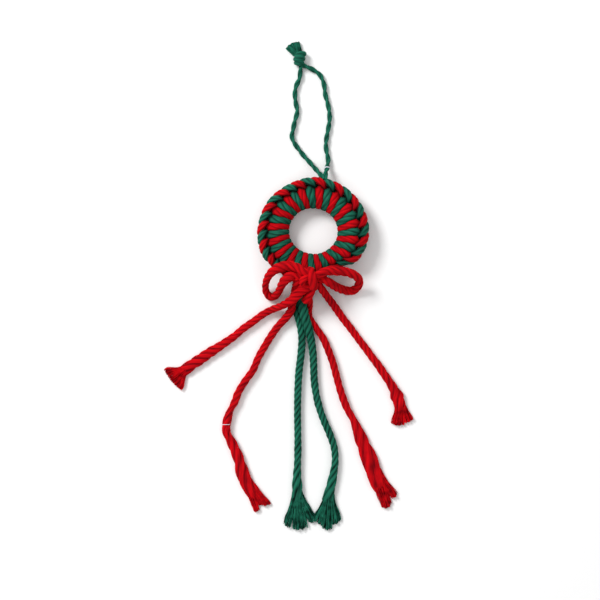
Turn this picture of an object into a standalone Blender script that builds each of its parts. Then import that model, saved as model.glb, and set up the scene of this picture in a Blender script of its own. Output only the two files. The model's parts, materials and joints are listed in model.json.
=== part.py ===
"""Macrame wreath ornament: a half-hitched ring with a bow, six frayed tails and a hanging loop.

Metres, +Z up. The ornament lies on its back on the surface z = 0, face up, the way it lies on a table.
The origin is under the middle of the wreath, and +Y points from there to the hanging loop.
Two cotton cords, red and green, are hitched in turn round a flat band. Each hitch goes over the face to
the hole, round the back, up over the outer edge and along the ridge to its next place.
"""
import math

import bmesh
import bpy
from mathutils import Matrix, Vector

MM = 0.001

# Driving dimensions
CORD_DIAMETER = 3.6 * MM
GREEN_TAIL_DIAMETER = 3.5 * MM
HANGING_CORD_DIAMETER = 2.2 * MM
THREAD_DIAMETER = 0.5 * MM
HOLE_RADIUS = 11.2 * MM
BAND_WIDTH = 13.0 * MM
BAND_DEPTH = 9.2 * MM
RING_OVAL = 0.97
HOLE_OVAL = 0.935
GAP = 0.3 * MM
HITCH_SQUEEZE = 0.61
FRAY_HALF_THICKNESS = 1.1 * MM
FLATTENED = 0.22

# How wide the band is round the ring: degrees from the top, clockwise, and a share of the band's width. The
# bow's right loop presses it narrower, and it bulges beside the left one.
BAND_SHARES = (
    (0, 1.0), (123, 1.0), (139, 0.82), (160, 0.82), (176, 1.0), (215, 1.0), (233, 1.04), (246, 1.07),
    (262, 1.02), (276, 1.0), (360, 1.0),
)

# Distances along a cord from its start to the thread wound round it, and the thread's two ends on it
THREAD_ON_LOOP_AT = 4.4 * MM
THREAD_ON_TAIL_AT = 73.9 * MM
THREAD_ENDS = (-25, 205)
THREAD_STEPS = 8

# Distances between the points of a cord's tube, in diameters of the cord
TAIL_STEP = 2.1
BOW_LOOP_STEP = 0.95
HANGING_LOOP_STEP = 2.5
KNOT_STEP = 0.6
KNOT_END_STEP = 1.0

RED = "C8121C"
GREEN = "1B5E45"
WHITE = "E9ECF2"

# Values that follow from the driving dimensions
CORD_RADIUS = CORD_DIAMETER / 2
BAND_RADIUS = HOLE_RADIUS + BAND_WIDTH / 2
HITCH_PAIRS = math.floor(math.pi * HOLE_RADIUS / (HITCH_SQUEEZE * CORD_DIAMETER) + 0.001)
HITCH_PITCH = math.pi / HITCH_PAIRS
DRAWN_BAND_RADIUS = 17.7 * MM
BAND_FROM_DRAWN = BAND_RADIUS / DRAWN_BAND_RADIUS

# One half hitch: places along the ring in pitches from its own spoke, round the band's section in
# degrees (0 at the outer edge, 90 on the face, 180 in the hole), the cord's centre above the band's
# surface and the cord's radius where it is pulled tight, both in cord radii.
HITCH = (
    (-1.05, -14, -0.45, 0.66),
    (-0.66, 12, 0.40, 0.69),
    (-0.20, 33, 1.05, 0.70),
    (0.18, 46, 1.12, 0.66),
    (0.50, 53, 0.45, 0.42),
    (0.80, 52, 0.13, 0.26),
    (1.50, 44, -0.38, 0.26),
    (1.88, 43, -0.80, 0.33),
    (1.99, 55, -0.90, 0.43),
    (2.06, 76, -0.78, 0.72),
    (2.20, 112, -0.72, 0.66),
    (2.38, 152, -0.62, 0.56),
    (2.42, 186, -0.57, 0.53),
    (2.22, 226, -0.62, 0.58),
    (1.80, 264, -0.70, 0.68),
    (1.28, 306, -0.78, 0.74),
)
FIRST_RED_SPOKE = math.radians(7.8)
RIDGE_SECTION = math.radians(HITCH[3][1])
RIDGE_CENTRE, RIDGE_RADIUS = HITCH[3][2] * CORD_RADIUS, HITCH[3][3] * CORD_RADIUS

# Routes of the loose cords, chosen by hand: x and y in millimetres from the wreath's middle, and a
# level, 0 where the cord lies on the surface and 1 where it lies on the wreath.
RED_TAIL_OUTER_LEFT = (
    (-3.5, -26.5, 0.95), (-6.0, -28.6, 0.88), (-8.9, -31.6, 0.78), (-11.6, -33.6, 0.68),
    (-14.8, -35.3, 0.40), (-19.0, -36.9, 0.08), (-23.4, -39.2, 0), (-28.0, -42.6, 0), (-32.7, -45.9, 0),
    (-36.5, -49.2, 0), (-40.6, -52.1, 0), (-44.8, -54.9, 0), (-48.8, -57.4, 0), (-52.7, -60.2, 0),
    (-56.5, -62.6, 0), (-59.9, -65.2, 0), (-66.1, -70.2, 0),
)
RED_TAIL_INNER_LEFT = (
    (-8.1, -26.4, 0.55), (-8.7, -28.8, 0.44), (-9.1, -31.3, 0.37), (-9.6, -34.0, 0.33),
    (-10.1, -36.6, 0.29), (-12.1, -40.1, 0.10), (-16.5, -44.9, 0), (-19.8, -49.6, 0), (-22.9, -54.7, 0),
    (-25.8, -59.9, 0), (-28.1, -65.3, 0), (-31.7, -70.3, 0), (-35.0, -75.8, 0), (-36.4, -79.7, 0),
    (-38.9, -84.7, 0), (-40.4, -90.1, 0), (-40.4, -94.4, 0), (-38.4, -98.4, 0), (-36.1, -103.4, 0),
    (-34.5, -107.6, 0), (-33.0, -113.2, 0), (-30.9, -118.2, 0), (-27.8, -122.8, 0), (-23.5, -129.4, 0),
)
GREEN_TAIL_LEFT = (
    (-7.2, -26.8, 0.05), (-7.9, -29.6, 0), (-8.4, -32.5, 0), (-8.4, -35.4, 0), (-7.8, -38.0, 0),
    (-6.9, -40.8, 0), (-5.8, -45.6, 0), (-5.2, -51.0, 0), (-5.6, -57.5, 0), (-6.6, -65.8, 0),
    (-7.1, -74.2, 0), (-7.3, -83.1, 0), (-7.2, -92.4, 0), (-7.1, -101.3, 0), (-7.3, -109.5, 0),
    (-7.5, -114.9, 0), (-7.4, -121.0, 0), (-7.2, -126.5, 0), (-6.2, -132.0, 0), (-5.8, -138.9, 0),
)
GREEN_TAIL_RIGHT = (
    (-2.4, -26.9, 0.04), (-4.1, -29.2, 0.08), (-5.0, -31.6, 0.13), (-5.2, -34.0, 0.25),
    (-4.6, -37.2, 0.32), (-3.7, -40.9, 0.29), (-2.3, -45.6, 0.19), (-1.0, -51.2, 0.02),
    (-0.2, -56.5, 0), (0.2, -62.0, 0), (0.5, -69.5, 0), (1.4, -76.5, 0), (3.0, -83.1, 0),
    (5.2, -89.2, 0), (7.8, -95.2, 0), (9.8, -101.3, 0), (10.3, -107.5, 0), (9.6, -113.0, 0),
    (8.5, -118.5, 0), (7.1, -124.3, 0), (5.9, -130.0, 0), (6.8, -138.6, 0),
)
RED_TAIL_INNER_RIGHT = (
    (-0.2, -27.4, 0.44), (-1.2, -29.4, 0.39), (-1.6, -31.5, 0.33), (-1.5, -33.8, 0.19), (-1.7, -36.2, 0.02),
    (-1.9, -38.8, 0), (-1.2, -41.4, 0), (0.4, -43.9, 0), (2.0, -46.5, 0), (4.7, -50.5, 0),
    (6.7, -55.0, 0), (9.0, -61.1, 0), (10.8, -67.6, 0), (12.7, -74.6, 0), (15.6, -82.6, 0),
    (18.8, -88.5, 0), (21.4, -94.8, 0), (23.8, -100.9, 0), (26.2, -106.6, 0), (28.0, -111.8, 0),
    (29.9, -116.2, 0), (31.8, -120.0, 0), (36.5, -126.4, 0),
)
RED_TAIL_OUTER_RIGHT = (
    (3.7, -27.3, 0.76), (5.9, -30.2, 0.48), (9.8, -35.3, 0.12), (13.6, -40.7, 0), (17.4, -45.6, 0),
    (21.5, -51.2, 0), (24.6, -55.2, 0), (27.4, -59.1, 0), (30.4, -63.0, 0), (33.0, -66.9, 0),
    (35.6, -70.7, 0), (37.7, -74.3, 0), (39.4, -78.2, 0), (40.7, -82.7, 0), (41.5, -90.0, 0),
)
BOW_LOOP_LEFT = (
    (-4.5, -19.7, 1.22), (-7.3, -17.8, 1.16), (-11.0, -16.8, 1.06), (-14.3, -17.3, 1.02),
    (-17.1, -18.3, 0.98), (-19.6, -20.1, 0.88), (-21.3, -22.6, 0.64), (-22.2, -25.8, 0.32),
    (-21.8, -29.0, 0.08), (-19.7, -31.2, 0), (-17.4, -30.3, 0.12), (-15.8, -28.1, 0.40),
    (-14.7, -25.7, 0.70), (-13.2, -23.5, 0.92), (-11.0, -21.8, 1.0), (-8.2, -21.2, 1.0),
    (-4.9, -22.7, 1.01),
)
BOW_LOOP_RIGHT = (
    (4.1, -20.0, 1.24), (6.6, -19.2, 1.14), (10.0, -19.2, 1.04), (14.1, -19.4, 1.0),
    (17.4, -20.3, 0.92), (20.2, -21.9, 0.70), (21.4, -24.2, 0.42), (20.4, -26.7, 0.16),
    (17.8, -28.3, 0), (14.1, -27.8, 0.16), (10.4, -26.3, 0.56), (7.4, -24.5, 0.92),
    (4.7, -23.1, 1.01),
)
HANGING_LOOP_LEFT = (
    (3.2, 25.9, 0.45), (0.8, 28.9, 0.18), (-1.6, 31.8, 0.03), (-4.0, 34.4, 0), (-6.6, 37.7, 0),
    (-8.9, 41.0, 0), (-9.9, 43.8, 0), (-9.4, 47.0, 0), (-8.5, 51.2, 0), (-7.4, 55.5, 0),
    (-8.0, 59.0, 0), (-8.5, 62.9, 0), (-8.0, 67.2, 0), (-6.4, 70.9, 0), (-5.9, 74.9, 0),
)
HANGING_LOOP_RIGHT = (
    (5.8, 25.9, 0.45), (6.5, 29.0, 0.16), (7.0, 33.0, 0), (6.2, 37.2, 0), (6.0, 41.0, 0),
    (6.6, 45.0, 0), (7.4, 49.4, 0), (7.7, 53.6, 0), (7.0, 58.5, 0), (5.7, 63.4, 0), (5.1, 68.1, 0),
    (3.2, 72.6, 0), (-0.1, 75.1, 0), (-3.2, 76.5, 0),
)

# How each tail opens towards its tip, chosen by hand: millimetres from the tip and the half width there,
# and the length at the tip over which it goes flat
OUTER_LEFT_OPENING = ((0, 6.1), (4, 4.2), (8, 2.9), (14, 2.65), (22, 2.6), (30, 2.0), (36, 1.8))
INNER_LEFT_OPENING = (
    (0, 3.6), (4, 3.8), (8, 3.5), (13.4, 3.4), (19, 3.2), (25, 2.65), (31, 2.5), (39, 1.95), (43.2, 2.0),
    (46.5, 2.1), (50, 1.6), (55, 1.8),
)
GREEN_LEFT_OPENING = ((0, 5.6), (2.5, 6.7), (6, 5.8), (8, 5.2), (12, 3.7), (19, 2.7), (24, 2.1), (29, 1.75))
GREEN_RIGHT_OPENING = ((0, 5.6), (4, 5.5), (7, 5.0), (10.5, 3.8), (14, 3.0), (19, 2.3), (24, 2.1), (29, 1.75))
INNER_RIGHT_OPENING = (
    (0, 3.6), (6, 4.4), (12, 4.4), (17, 4.2), (22, 4.1), (28.6, 3.4), (35, 2.8), (41.8, 1.7), (50, 1.8),
)
OUTER_RIGHT_OPENING = (
    (0, 5.0), (2.5, 4.6), (5, 3.3), (8, 2.95), (12.5, 3.2), (16, 2.3), (20, 1.9), (24, 1.8),
)
OPENING_FLAT = 6

# The bow's knot: a core of crossing strands, one thick wrap over it and three strands that leave it
BOW_CORE_CENTRE = (-0.3, -22.4)
BOW_CORE_HALF = (3.8 * MM, 3.6 * MM, 2.4 * MM)
BOW_WRAP = (
    (-0.5, -18.9, 1.02), (-0.5, -19.9, 1.23), (-0.5, -22.4, 1.36), (-0.5, -25.2, 1.26), (-0.5, -26.6, 1.02),
)
BOW_WRAP_RADIUS = 1.85 * MM
BOW_STRAND_LEFT = ((-0.4, -23.4, 1.10), (-1.8, -24.9, 1.04), (-3.0, -26.0, 0.97))
BOW_STRAND_MIDDLE = (
    (0.3, -25.0, 1.0), (-0.2, -27.0, 0.88), (-1.1, -29.2, 0.78), (-2.0, -31.2, 0.70), (-2.7, -32.6, 0.64),
)
BOW_MIDDLE_RADIUS = 1.65 * MM
BOW_STRAND_RIGHT = ((0.4, -23.6, 1.06), (2.2, -25.6, 0.94), (3.4, -26.9, 0.80))

# The knot that closes the hanging loop, with the two short ends of its cord
TOP_KNOT_CENTRE = (-6.0, 79.6)
TOP_KNOT_HALF = (3.4 * MM, 3.8 * MM, 2.3 * MM)
TOP_KNOT_TURN = math.radians(-12)
TOP_KNOT_ENDS = (
    ((-7.4, 81.2, 0.10), (-8.9, 83.2, 0.08), (-12.0, 86.7, 0)),
    ((-6.4, 81.6, 0.10), (-6.9, 83.9, 0.08), (-8.0, 88.0, 0)),
)
TOP_KNOT_END_HALF_WIDTH = 1.8 * MM


def over_wreath():
    """Height of a cord's centre where it lies on the ridge of the wreath."""
    out = Vector((math.cos(RIDGE_SECTION) / BAND_WIDTH, math.sin(RIDGE_SECTION) / BAND_DEPTH))
    rise = out.normalized()[1]
    crest = BAND_DEPTH / 2 * (1 + math.sin(RIDGE_SECTION)) + RIDGE_CENTRE * rise + RIDGE_RADIUS
    return crest + GAP + CORD_RADIUS


def linear(hex_colour):
    """A hex colour as linear red, green, blue and alpha."""
    channels = [int(hex_colour[i:i + 2], 16) / 255 for i in (0, 2, 4)]
    return [c / 12.92 if c <= 0.04045 else ((c + 0.055) / 1.055) ** 2.4 for c in channels] + [1.0]


def cotton(name, hex_colour):
    material = bpy.data.materials.new(name)
    material.use_nodes = True
    shader = material.node_tree.nodes["Principled BSDF"]
    shader.inputs["Base Color"].default_value = linear(hex_colour)
    shader.inputs["Roughness"].default_value = 0.85
    shader.inputs["Metallic"].default_value = 0.0
    return material


def placed(route, rest):
    """Route points in metres. The rest height is the cord's centre above the surface."""
    moved = []
    for x, y, level in route:
        x, y = x * MM * BAND_FROM_DRAWN, y * MM
        y += math.copysign((BAND_FROM_DRAWN - 1) * BAND_RADIUS * RING_OVAL, y)
        moved.append(Vector((x, y, rest + level * (over_wreath() - rest))))
    return moved


def lying(route, rest, spacing):
    """Even points along a loose cord, nowhere lower than its rest height."""
    points = smooth(placed(route, rest), spacing)
    for point in points:
        point.z = max(point.z, rest)
    return points


def smooth(points, spacing):
    """A Catmull-Rom curve through the points, sampled at an even spacing."""
    ends = [2 * points[0] - points[1], *points, 2 * points[-1] - points[-2]]
    fine = []
    for a, b, c, d in zip(ends, ends[1:], ends[2:], ends[3:]):
        for step in range(12):
            t = step / 12
            fine.append(0.5 * (2 * b + (c - a) * t + (2 * a - 5 * b + 4 * c - d) * t ** 2
                               + (3 * b - 3 * c + d - a) * t ** 3))
    fine.append(points[-1])
    along = [0.0]
    for a, b in zip(fine, fine[1:]):
        along.append(along[-1] + (b - a).length)
    count = max(3, round(along[-1] / spacing) + 1)
    even, i = [], 0
    for k in range(count):
        want = along[-1] * k / (count - 1)
        while i < len(fine) - 2 and along[i + 1] < want:
            i += 1
        even.append(fine[i].lerp(fine[i + 1], (want - along[i]) / (along[i + 1] - along[i])))
    return even


def tube(name, points, radii, sides_level, closed, material):
    """A curve object that gives the cord its thickness along the points."""
    curve = bpy.data.curves.new(name, "CURVE")
    curve.dimensions = "3D"
    curve.bevel_depth = 1.0
    curve.bevel_resolution = sides_level
    curve.use_fill_caps = not closed
    curve.twist_mode = "MINIMUM"
    curve.resolution_u = 1
    curve.render_resolution_u = 0
    spline = curve.splines.new("POLY")
    spline.points.add(len(points) - 1)
    for knot, place, radius in zip(spline.points, points, radii):
        knot.co = (*place, 1)
        knot.radius = radius
    spline.use_cyclic_u = closed
    spline.use_smooth = True
    curve.materials.append(material)
    made = bpy.data.objects.new(name, curve)
    PARTS.objects.link(made)
    return made


def as_mesh(made):
    """The same object as a closed mesh, its end caps welded on."""
    bpy.context.view_layer.update()
    mesh = bpy.data.meshes.new_from_object(made.evaluated_get(bpy.context.evaluated_depsgraph_get()))
    form = bmesh.new()
    form.from_mesh(mesh)
    bmesh.ops.remove_doubles(form, verts=form.verts, dist=0.001 * MM)
    form.to_mesh(mesh)
    form.free()
    name, place, curve = made.name, made.matrix_world.copy(), made.data
    bpy.data.objects.remove(made)
    if isinstance(curve, bpy.types.Curve):
        bpy.data.curves.remove(curve)
    solid = bpy.data.objects.new(name, mesh)
    solid.matrix_world = place
    PARTS.objects.link(solid)
    return solid


def fused(name, pieces, material):
    """One solid from pieces that overlap."""
    whole = pieces[0]
    for piece in pieces[1:]:
        join = whole.modifiers.new("Join", "BOOLEAN")
        join.operation = "UNION"
        join.solver = "EXACT"
        join.object = piece
    whole = as_mesh(whole)
    for piece in pieces[1:]:
        bpy.data.objects.remove(piece)
    whole.name = name
    whole.data.materials.clear()
    whole.data.materials.append(material)
    return whole


def ellipsoid(centre, half, turn):
    """A rounded lump with the given half sizes, turned about the vertical."""
    bpy.ops.mesh.primitive_uv_sphere_add(segments=12, ring_count=8, radius=1)
    lump = bpy.context.object
    turned = Matrix.Rotation(turn, 4, "Z")
    lump.data.transform(Matrix.Translation(centre) @ turned @ Matrix.Diagonal((*half, 1)))
    bpy.context.collection.objects.unlink(lump)
    PARTS.objects.link(lump)
    return lump


def eased(share):
    """A share from 0 to 1 that starts and ends gently."""
    share = min(1.0, max(0.0, share))
    return share * share * (3 - 2 * share)


def band_share(angle):
    """The band's width at a place round the ring, as a share of the whole."""
    place = math.degrees(angle) % 360
    for (near, a), (far, b) in zip(BAND_SHARES, BAND_SHARES[1:]):
        if place <= far:
            return a + (b - a) * eased((place - near) / (far - near))
    return 1.0


def oval(x, y):
    """The y of a place on a round ring once its hole and its outer edge are oval."""
    outwards = min(1.0, max(0.0, (math.hypot(x, y) - HOLE_RADIUS) / BAND_WIDTH))
    return y * (HOLE_OVAL + (RING_OVAL - HOLE_OVAL) * outwards)


def hitched_cord(name, first_spoke, material):
    """One cord of the wreath, hitched the whole way round, every second hitch."""
    points, radii = [], []
    for hitch in range(HITCH_PAIRS):
        for along, section, centre, radius in HITCH:
            angle = first_spoke + (2 * hitch + along) * HITCH_PITCH
            turn = math.radians(section)
            out = Vector((math.cos(turn) / BAND_WIDTH, math.sin(turn) / BAND_DEPTH)).normalized()
            reach = BAND_RADIUS + BAND_WIDTH / 2 * math.cos(turn) + centre * CORD_RADIUS * out[0]
            height = BAND_DEPTH / 2 * (1 + math.sin(turn)) + centre * CORD_RADIUS * out[1]
            reach = HOLE_RADIUS + (reach - HOLE_RADIUS) * band_share(angle)
            x, y = reach * math.sin(angle), reach * math.cos(angle)
            points.append((x, oval(x, y), height))
            radii.append(radius * CORD_RADIUS)
    return tube(name, points, radii, 1, True, material)


def loose_cord(name, route, diameter, step, material):
    """A free cord of one thickness along its route."""
    points = lying(route, diameter / 2, step * diameter)
    return tube(name, points, [diameter / 2] * len(points), 2, False, material)


def half_width_at(opening, to_tip):
    """Half width of an opened tail at a distance from its tip."""
    for (near, a), (far, b) in zip(opening, opening[1:]):
        if to_tip <= far * MM:
            return (a + (b - a) * (to_tip - near * MM) / ((far - near) * MM)) * MM
    return opening[-1][1] * MM


def frayed_tail(name, route, diameter, opening, material):
    """A tail that comes untwisted and opens at its end into flat loose yarn lying on the surface."""
    rest = diameter / 2
    fine = lying(route, rest, diameter / 8)
    to_tip = [0.0]
    for a, b in zip(reversed(fine), reversed(fine[:-1])):
        to_tip.append(to_tip[-1] + (a - b).length)
    to_tip.reverse()
    opened = [(distance * MM, half_width * MM) for distance, half_width in opening]
    stops, ends = [], [to_tip[0], *(distance for distance, _ in reversed(opened))]
    for far, near in zip(ends, ends[1:]):
        count = math.ceil((far - near) / (TAIL_STEP * diameter))
        stops += [far + (near - far) * i / count for i in range(count)]
    stops.append(0.0)
    points, radii, halves = [], [], []
    for stop in stops:
        i = min(range(len(fine)), key=lambda i: abs(to_tip[i] - stop))
        points.append(fine[i])
        radii.append(half_width_at(opening, stop) if stop < opened[-1][0] else rest)
        flat = max(0.0, 1 - stop / (OPENING_FLAT * MM))
        round_half = min(rest, radii[-1]) * (1 - FLATTENED * min(1.0, max(0.0, radii[-1] / rest - 1)))
        halves.append(round_half + (FRAY_HALF_THICKNESS - round_half) * flat)
    tail = as_mesh(tube(name, points, radii, 2, False, material))
    for vertex in tail.data.vertices:
        near = min(range(len(points)), key=lambda i: abs((vertex.co - points[i]).length - radii[i])
                   + (vertex.co - points[i]).length)
        if radii[near] != rest:
            vertex.co.z = halves[near] * (1 + (vertex.co.z - points[near].z) / radii[near])
    tail.data.shade_smooth()
    return tail


def bow_knot(material):
    """The knot at the foot of the wreath."""
    base = over_wreath() - CORD_RADIUS
    x, y, _ = placed([(*BOW_CORE_CENTRE, 1)], CORD_RADIUS)[0]
    pieces = [ellipsoid((x, y, base + BOW_CORE_HALF[2]), BOW_CORE_HALF, 0)]
    strands = (
        (BOW_WRAP, BOW_WRAP_RADIUS), (BOW_STRAND_LEFT, CORD_RADIUS), (BOW_STRAND_MIDDLE, BOW_MIDDLE_RADIUS),
        (BOW_STRAND_RIGHT, CORD_RADIUS),
    )
    for route, radius in strands:
        points = lying(route, CORD_RADIUS, KNOT_STEP * CORD_DIAMETER)
        pieces.append(as_mesh(tube("strand", points, [radius] * len(points), 2, False, material)))
    return fused("bow_knot", pieces, material)


def hanging_knot(material):
    """The knot that closes the hanging loop, its two ends frayed."""
    radius = HANGING_CORD_DIAMETER / 2
    x, y, _ = placed([(*TOP_KNOT_CENTRE, 0)], radius)[0]
    pieces = [ellipsoid((x, y, TOP_KNOT_HALF[2]), TOP_KNOT_HALF, TOP_KNOT_TURN)]
    for route in TOP_KNOT_ENDS:
        points = lying(route, radius, KNOT_END_STEP * HANGING_CORD_DIAMETER)
        last = len(points) - 1
        radii = [radius + (TOP_KNOT_END_HALF_WIDTH - radius) * (i / last) ** 2 for i in range(last + 1)]
        end = as_mesh(tube("end", points, radii, 2, False, material))
        for vertex in end.data.vertices:
            near = min(range(len(points)), key=lambda i: (vertex.co - points[i]).length)
            vertex.co.z = points[near].z + (vertex.co.z - points[near].z) * radius / radii[near]
        pieces.append(end)
    return fused("hanging_knot", pieces, material)


def wound_thread(name, route, diameter, distance, opening, material):
    """A turn of sewing thread over a cord, open below where the cord lies on the surface."""
    points = lying(route, diameter / 2, diameter / 8)
    gone, i = 0.0, 0
    while gone < distance:
        gone += (points[i + 1] - points[i]).length
        i += 1
    along = (points[i + 1] - points[i - 1]).normalized()
    side = along.cross(Vector((0, 0, 1))).normalized()
    over = side.cross(along)
    thread = THREAD_DIAMETER / 2
    to_tip = sum((b - a).length for a, b in zip(points[i:], points[i + 1:]))
    half_width = half_width_at(opening, to_tip) if opening else diameter / 2
    reach, rise = (half + GAP + thread for half in (half_width, diameter / 2))
    arc = []
    for step in range(THREAD_STEPS + 1):
        angle = math.radians(THREAD_ENDS[0] + (THREAD_ENDS[1] - THREAD_ENDS[0]) * step / THREAD_STEPS)
        arc.append(points[i] + reach * math.cos(angle) * side + rise * math.sin(angle) * over)
    return tube(name, arc, [thread] * len(arc), 1, False, material)


for old in list(bpy.data.objects):
    bpy.data.objects.remove(old)
PARTS = bpy.data.collections.new("macrame_wreath_ornament")
bpy.context.scene.collection.children.link(PARTS)

red_cotton = cotton("red cotton cord", RED)
green_cotton = cotton("green cotton cord", GREEN)
white_thread = cotton("white sewing thread", WHITE)

hitched_cord("wreath_red_cord", FIRST_RED_SPOKE, red_cotton)
hitched_cord("wreath_green_cord", FIRST_RED_SPOKE + HITCH_PITCH, green_cotton)
bow_knot(red_cotton)
loose_cord("bow_loop_left", BOW_LOOP_LEFT, CORD_DIAMETER, BOW_LOOP_STEP, red_cotton)
loose_cord("bow_loop_right", BOW_LOOP_RIGHT, CORD_DIAMETER, BOW_LOOP_STEP, red_cotton)
frayed_tail("red_tail_outer_left", RED_TAIL_OUTER_LEFT, CORD_DIAMETER, OUTER_LEFT_OPENING, red_cotton)
frayed_tail("red_tail_inner_left", RED_TAIL_INNER_LEFT, CORD_DIAMETER, INNER_LEFT_OPENING, red_cotton)
frayed_tail("green_tail_left", GREEN_TAIL_LEFT, GREEN_TAIL_DIAMETER, GREEN_LEFT_OPENING, green_cotton)
frayed_tail("green_tail_right", GREEN_TAIL_RIGHT, GREEN_TAIL_DIAMETER, GREEN_RIGHT_OPENING, green_cotton)
frayed_tail("red_tail_inner_right", RED_TAIL_INNER_RIGHT, CORD_DIAMETER, INNER_RIGHT_OPENING, red_cotton)
frayed_tail("red_tail_outer_right", RED_TAIL_OUTER_RIGHT, CORD_DIAMETER, OUTER_RIGHT_OPENING, red_cotton)
loose_cord("hanging_loop_left", HANGING_LOOP_LEFT, HANGING_CORD_DIAMETER, HANGING_LOOP_STEP, green_cotton)
loose_cord("hanging_loop_right", HANGING_LOOP_RIGHT, HANGING_CORD_DIAMETER, HANGING_LOOP_STEP, green_cotton)
hanging_knot(green_cotton)
wound_thread("thread_on_hanging_loop", HANGING_LOOP_RIGHT, HANGING_CORD_DIAMETER, THREAD_ON_LOOP_AT, (),
             white_thread)
wound_thread("thread_on_red_tail", RED_TAIL_INNER_LEFT, CORD_DIAMETER, THREAD_ON_TAIL_AT, INNER_LEFT_OPENING,
             white_thread)
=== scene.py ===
"""The looks of the macrame wreath ornament: twisted cotton cord, hitched, tied and frayed.

Every piece is in metres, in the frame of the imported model: the ornament lies face up on z = 0, with the
middle of the wreath over the origin and the hanging loop towards +Y.
"""
import json
import math
from functools import partial

import bpy
import bmesh
import numpy as np
from bpy.props import FloatProperty, FloatVectorProperty, IntProperty, PointerProperty
from bpy.types import Operator, Panel, PropertyGroup
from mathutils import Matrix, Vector

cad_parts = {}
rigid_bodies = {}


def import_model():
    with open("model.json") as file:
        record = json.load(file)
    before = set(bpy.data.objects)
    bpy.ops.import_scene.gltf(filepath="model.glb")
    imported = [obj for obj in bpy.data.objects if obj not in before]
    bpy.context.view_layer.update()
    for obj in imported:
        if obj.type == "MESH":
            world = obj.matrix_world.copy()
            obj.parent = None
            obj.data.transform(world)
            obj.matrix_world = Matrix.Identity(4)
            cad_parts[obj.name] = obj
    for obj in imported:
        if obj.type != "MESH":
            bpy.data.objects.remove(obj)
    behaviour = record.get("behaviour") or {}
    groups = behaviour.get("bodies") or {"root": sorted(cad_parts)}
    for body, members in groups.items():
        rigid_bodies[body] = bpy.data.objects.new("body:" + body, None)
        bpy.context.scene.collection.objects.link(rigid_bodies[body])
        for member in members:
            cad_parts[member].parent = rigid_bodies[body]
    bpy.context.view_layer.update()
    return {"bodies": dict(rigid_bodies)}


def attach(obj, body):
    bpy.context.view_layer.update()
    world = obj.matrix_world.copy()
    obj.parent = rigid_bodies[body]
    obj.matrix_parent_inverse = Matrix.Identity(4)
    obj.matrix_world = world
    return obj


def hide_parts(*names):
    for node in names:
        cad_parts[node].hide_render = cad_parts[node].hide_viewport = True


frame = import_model()

bl_info = {
    "name": "Macrame wreath ornament",
    "version": (1, 0, 0),
    "blender": (4, 5, 0),
    "location": "3D View > Sidebar > Ornament",
    "description": "Dresses the knotted wreath ornament in twisted cotton cord",
    "category": "Object",
}

MM = 0.001
BODY = next(iter(frame["bodies"]))
UP = np.array((0.0, 0.0, 1.0))

# The photograph's frame: its width and height in pixels, the pixel over the wreath's middle, and one
# pixel's real size
PHOTO_PIXELS = 600
WREATH_PIXEL = (313.1, 230.5)
PIXEL = 0.468 * MM

# Angle of a cord's yarns to their ply, in radians
YARN_TILT = 0.45

# Distance between the rings of faces along a cord, and the steps that a curve takes from one point of a
# route, or of a hitch, to the next
RING_SPACING = 0.36 * MM
ROUTE_STEPS = 24
HITCH_STEPS = 16

# Painted shade on a cord's surface: the ply spread from which its grooves are fully shaded, the share of its
# half width where the painted shade of the seam beside its neighbour starts and over which it grows, and the
# painted shade on its end caps
FULL_GROOVE_SPREAD = 0.42
SEAM_START = 0.80
SEAM_WIDTH = 0.20
CAP_SHADE = 0.5

# Height of a cord's centre where it lies on the wreath's ridge, as in the solids
OVER_WREATH = 12.86 * MM

# One half hitch: places along the ring in pitches from its own spoke, round the band's section in
# degrees (0 at the outer edge, 90 on the face, 180 in the hole), then in millimetres the cord's centre
# above the band, its half width along the ring and its half height, how square its section is pressed by
# its neighbours, 2 being round, and how much painted shade it gets where it lies sunk, from 0 to 1. It lies
# as a short ridge over the head of its own spoke, dips, goes on thin and hidden, and comes out as the spoke,
# which narrows towards the hole.
HITCH = (
    (-1.16, -22, -0.75, 1.60, 1.15, 2.3, 0.55),
    (-0.84, 2, 0.07, 1.72, 1.30, 2.3, 0.15),
    (-0.46, 22, 0.85, 1.80, 1.40, 2.2, 0.0),
    (-0.05, 38, 1.60, 1.80, 1.40, 2.2, 0.0),
    (0.25, 46, 1.40, 1.62, 1.28, 2.2, 0.05),
    (0.45, 52, 0.65, 1.15, 1.00, 2.1, 0.45),
    (0.60, 53, -0.50, 0.70, 0.65, 2.0, 0.9),
    (1.20, 47, -0.90, 0.45, 0.45, 2.0, 1.0),
    (1.72, 41, -1.30, 0.60, 0.55, 2.0, 1.0),
    (1.92, 43, -1.45, 1.30, 0.95, 2.3, 0.9),
    (1.98, 51, -1.40, 1.95, 1.30, 2.5, 0.45),
    (2.02, 64, -1.35, 1.98, 1.42, 2.5, 0.12),
    (2.10, 88, -1.35, 1.82, 1.45, 2.5, 0.0),
    (2.26, 118, -1.30, 1.50, 1.42, 2.5, 0.0),
    (2.40, 150, -1.20, 1.34, 1.26, 3.4, 0.1),
    (2.46, 178, -1.12, 1.34, 1.08, 4.4, 0.35),
    (2.38, 206, -1.15, 1.34, 1.15, 3.6, 0.6),
    (2.12, 240, -1.25, 1.50, 1.25, 2.5, 0.6),
    (1.72, 272, -1.35, 1.75, 1.30, 2.4, 0.6),
    (1.24, 306, -1.30, 1.70, 1.20, 2.3, 0.6),
)
FIRST_RED_SPOKE = math.radians(7.8)

# How wide the band is round the ring: degrees from the top, clockwise, and a share of the band's width.
# The bow's right loop presses it narrower, and it bulges beside the left one.
BAND_SHARES = (
    (0, 0.985), (45, 0.975), (123, 0.985), (139, 0.78), (150, 0.74), (162, 0.78), (178, 1.0), (215, 1.0),
    (233, 1.03), (246, 1.07), (262, 1.02), (285, 0.985), (305, 0.975), (325, 0.95), (345, 0.955),
    (360, 0.985),
)

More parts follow.
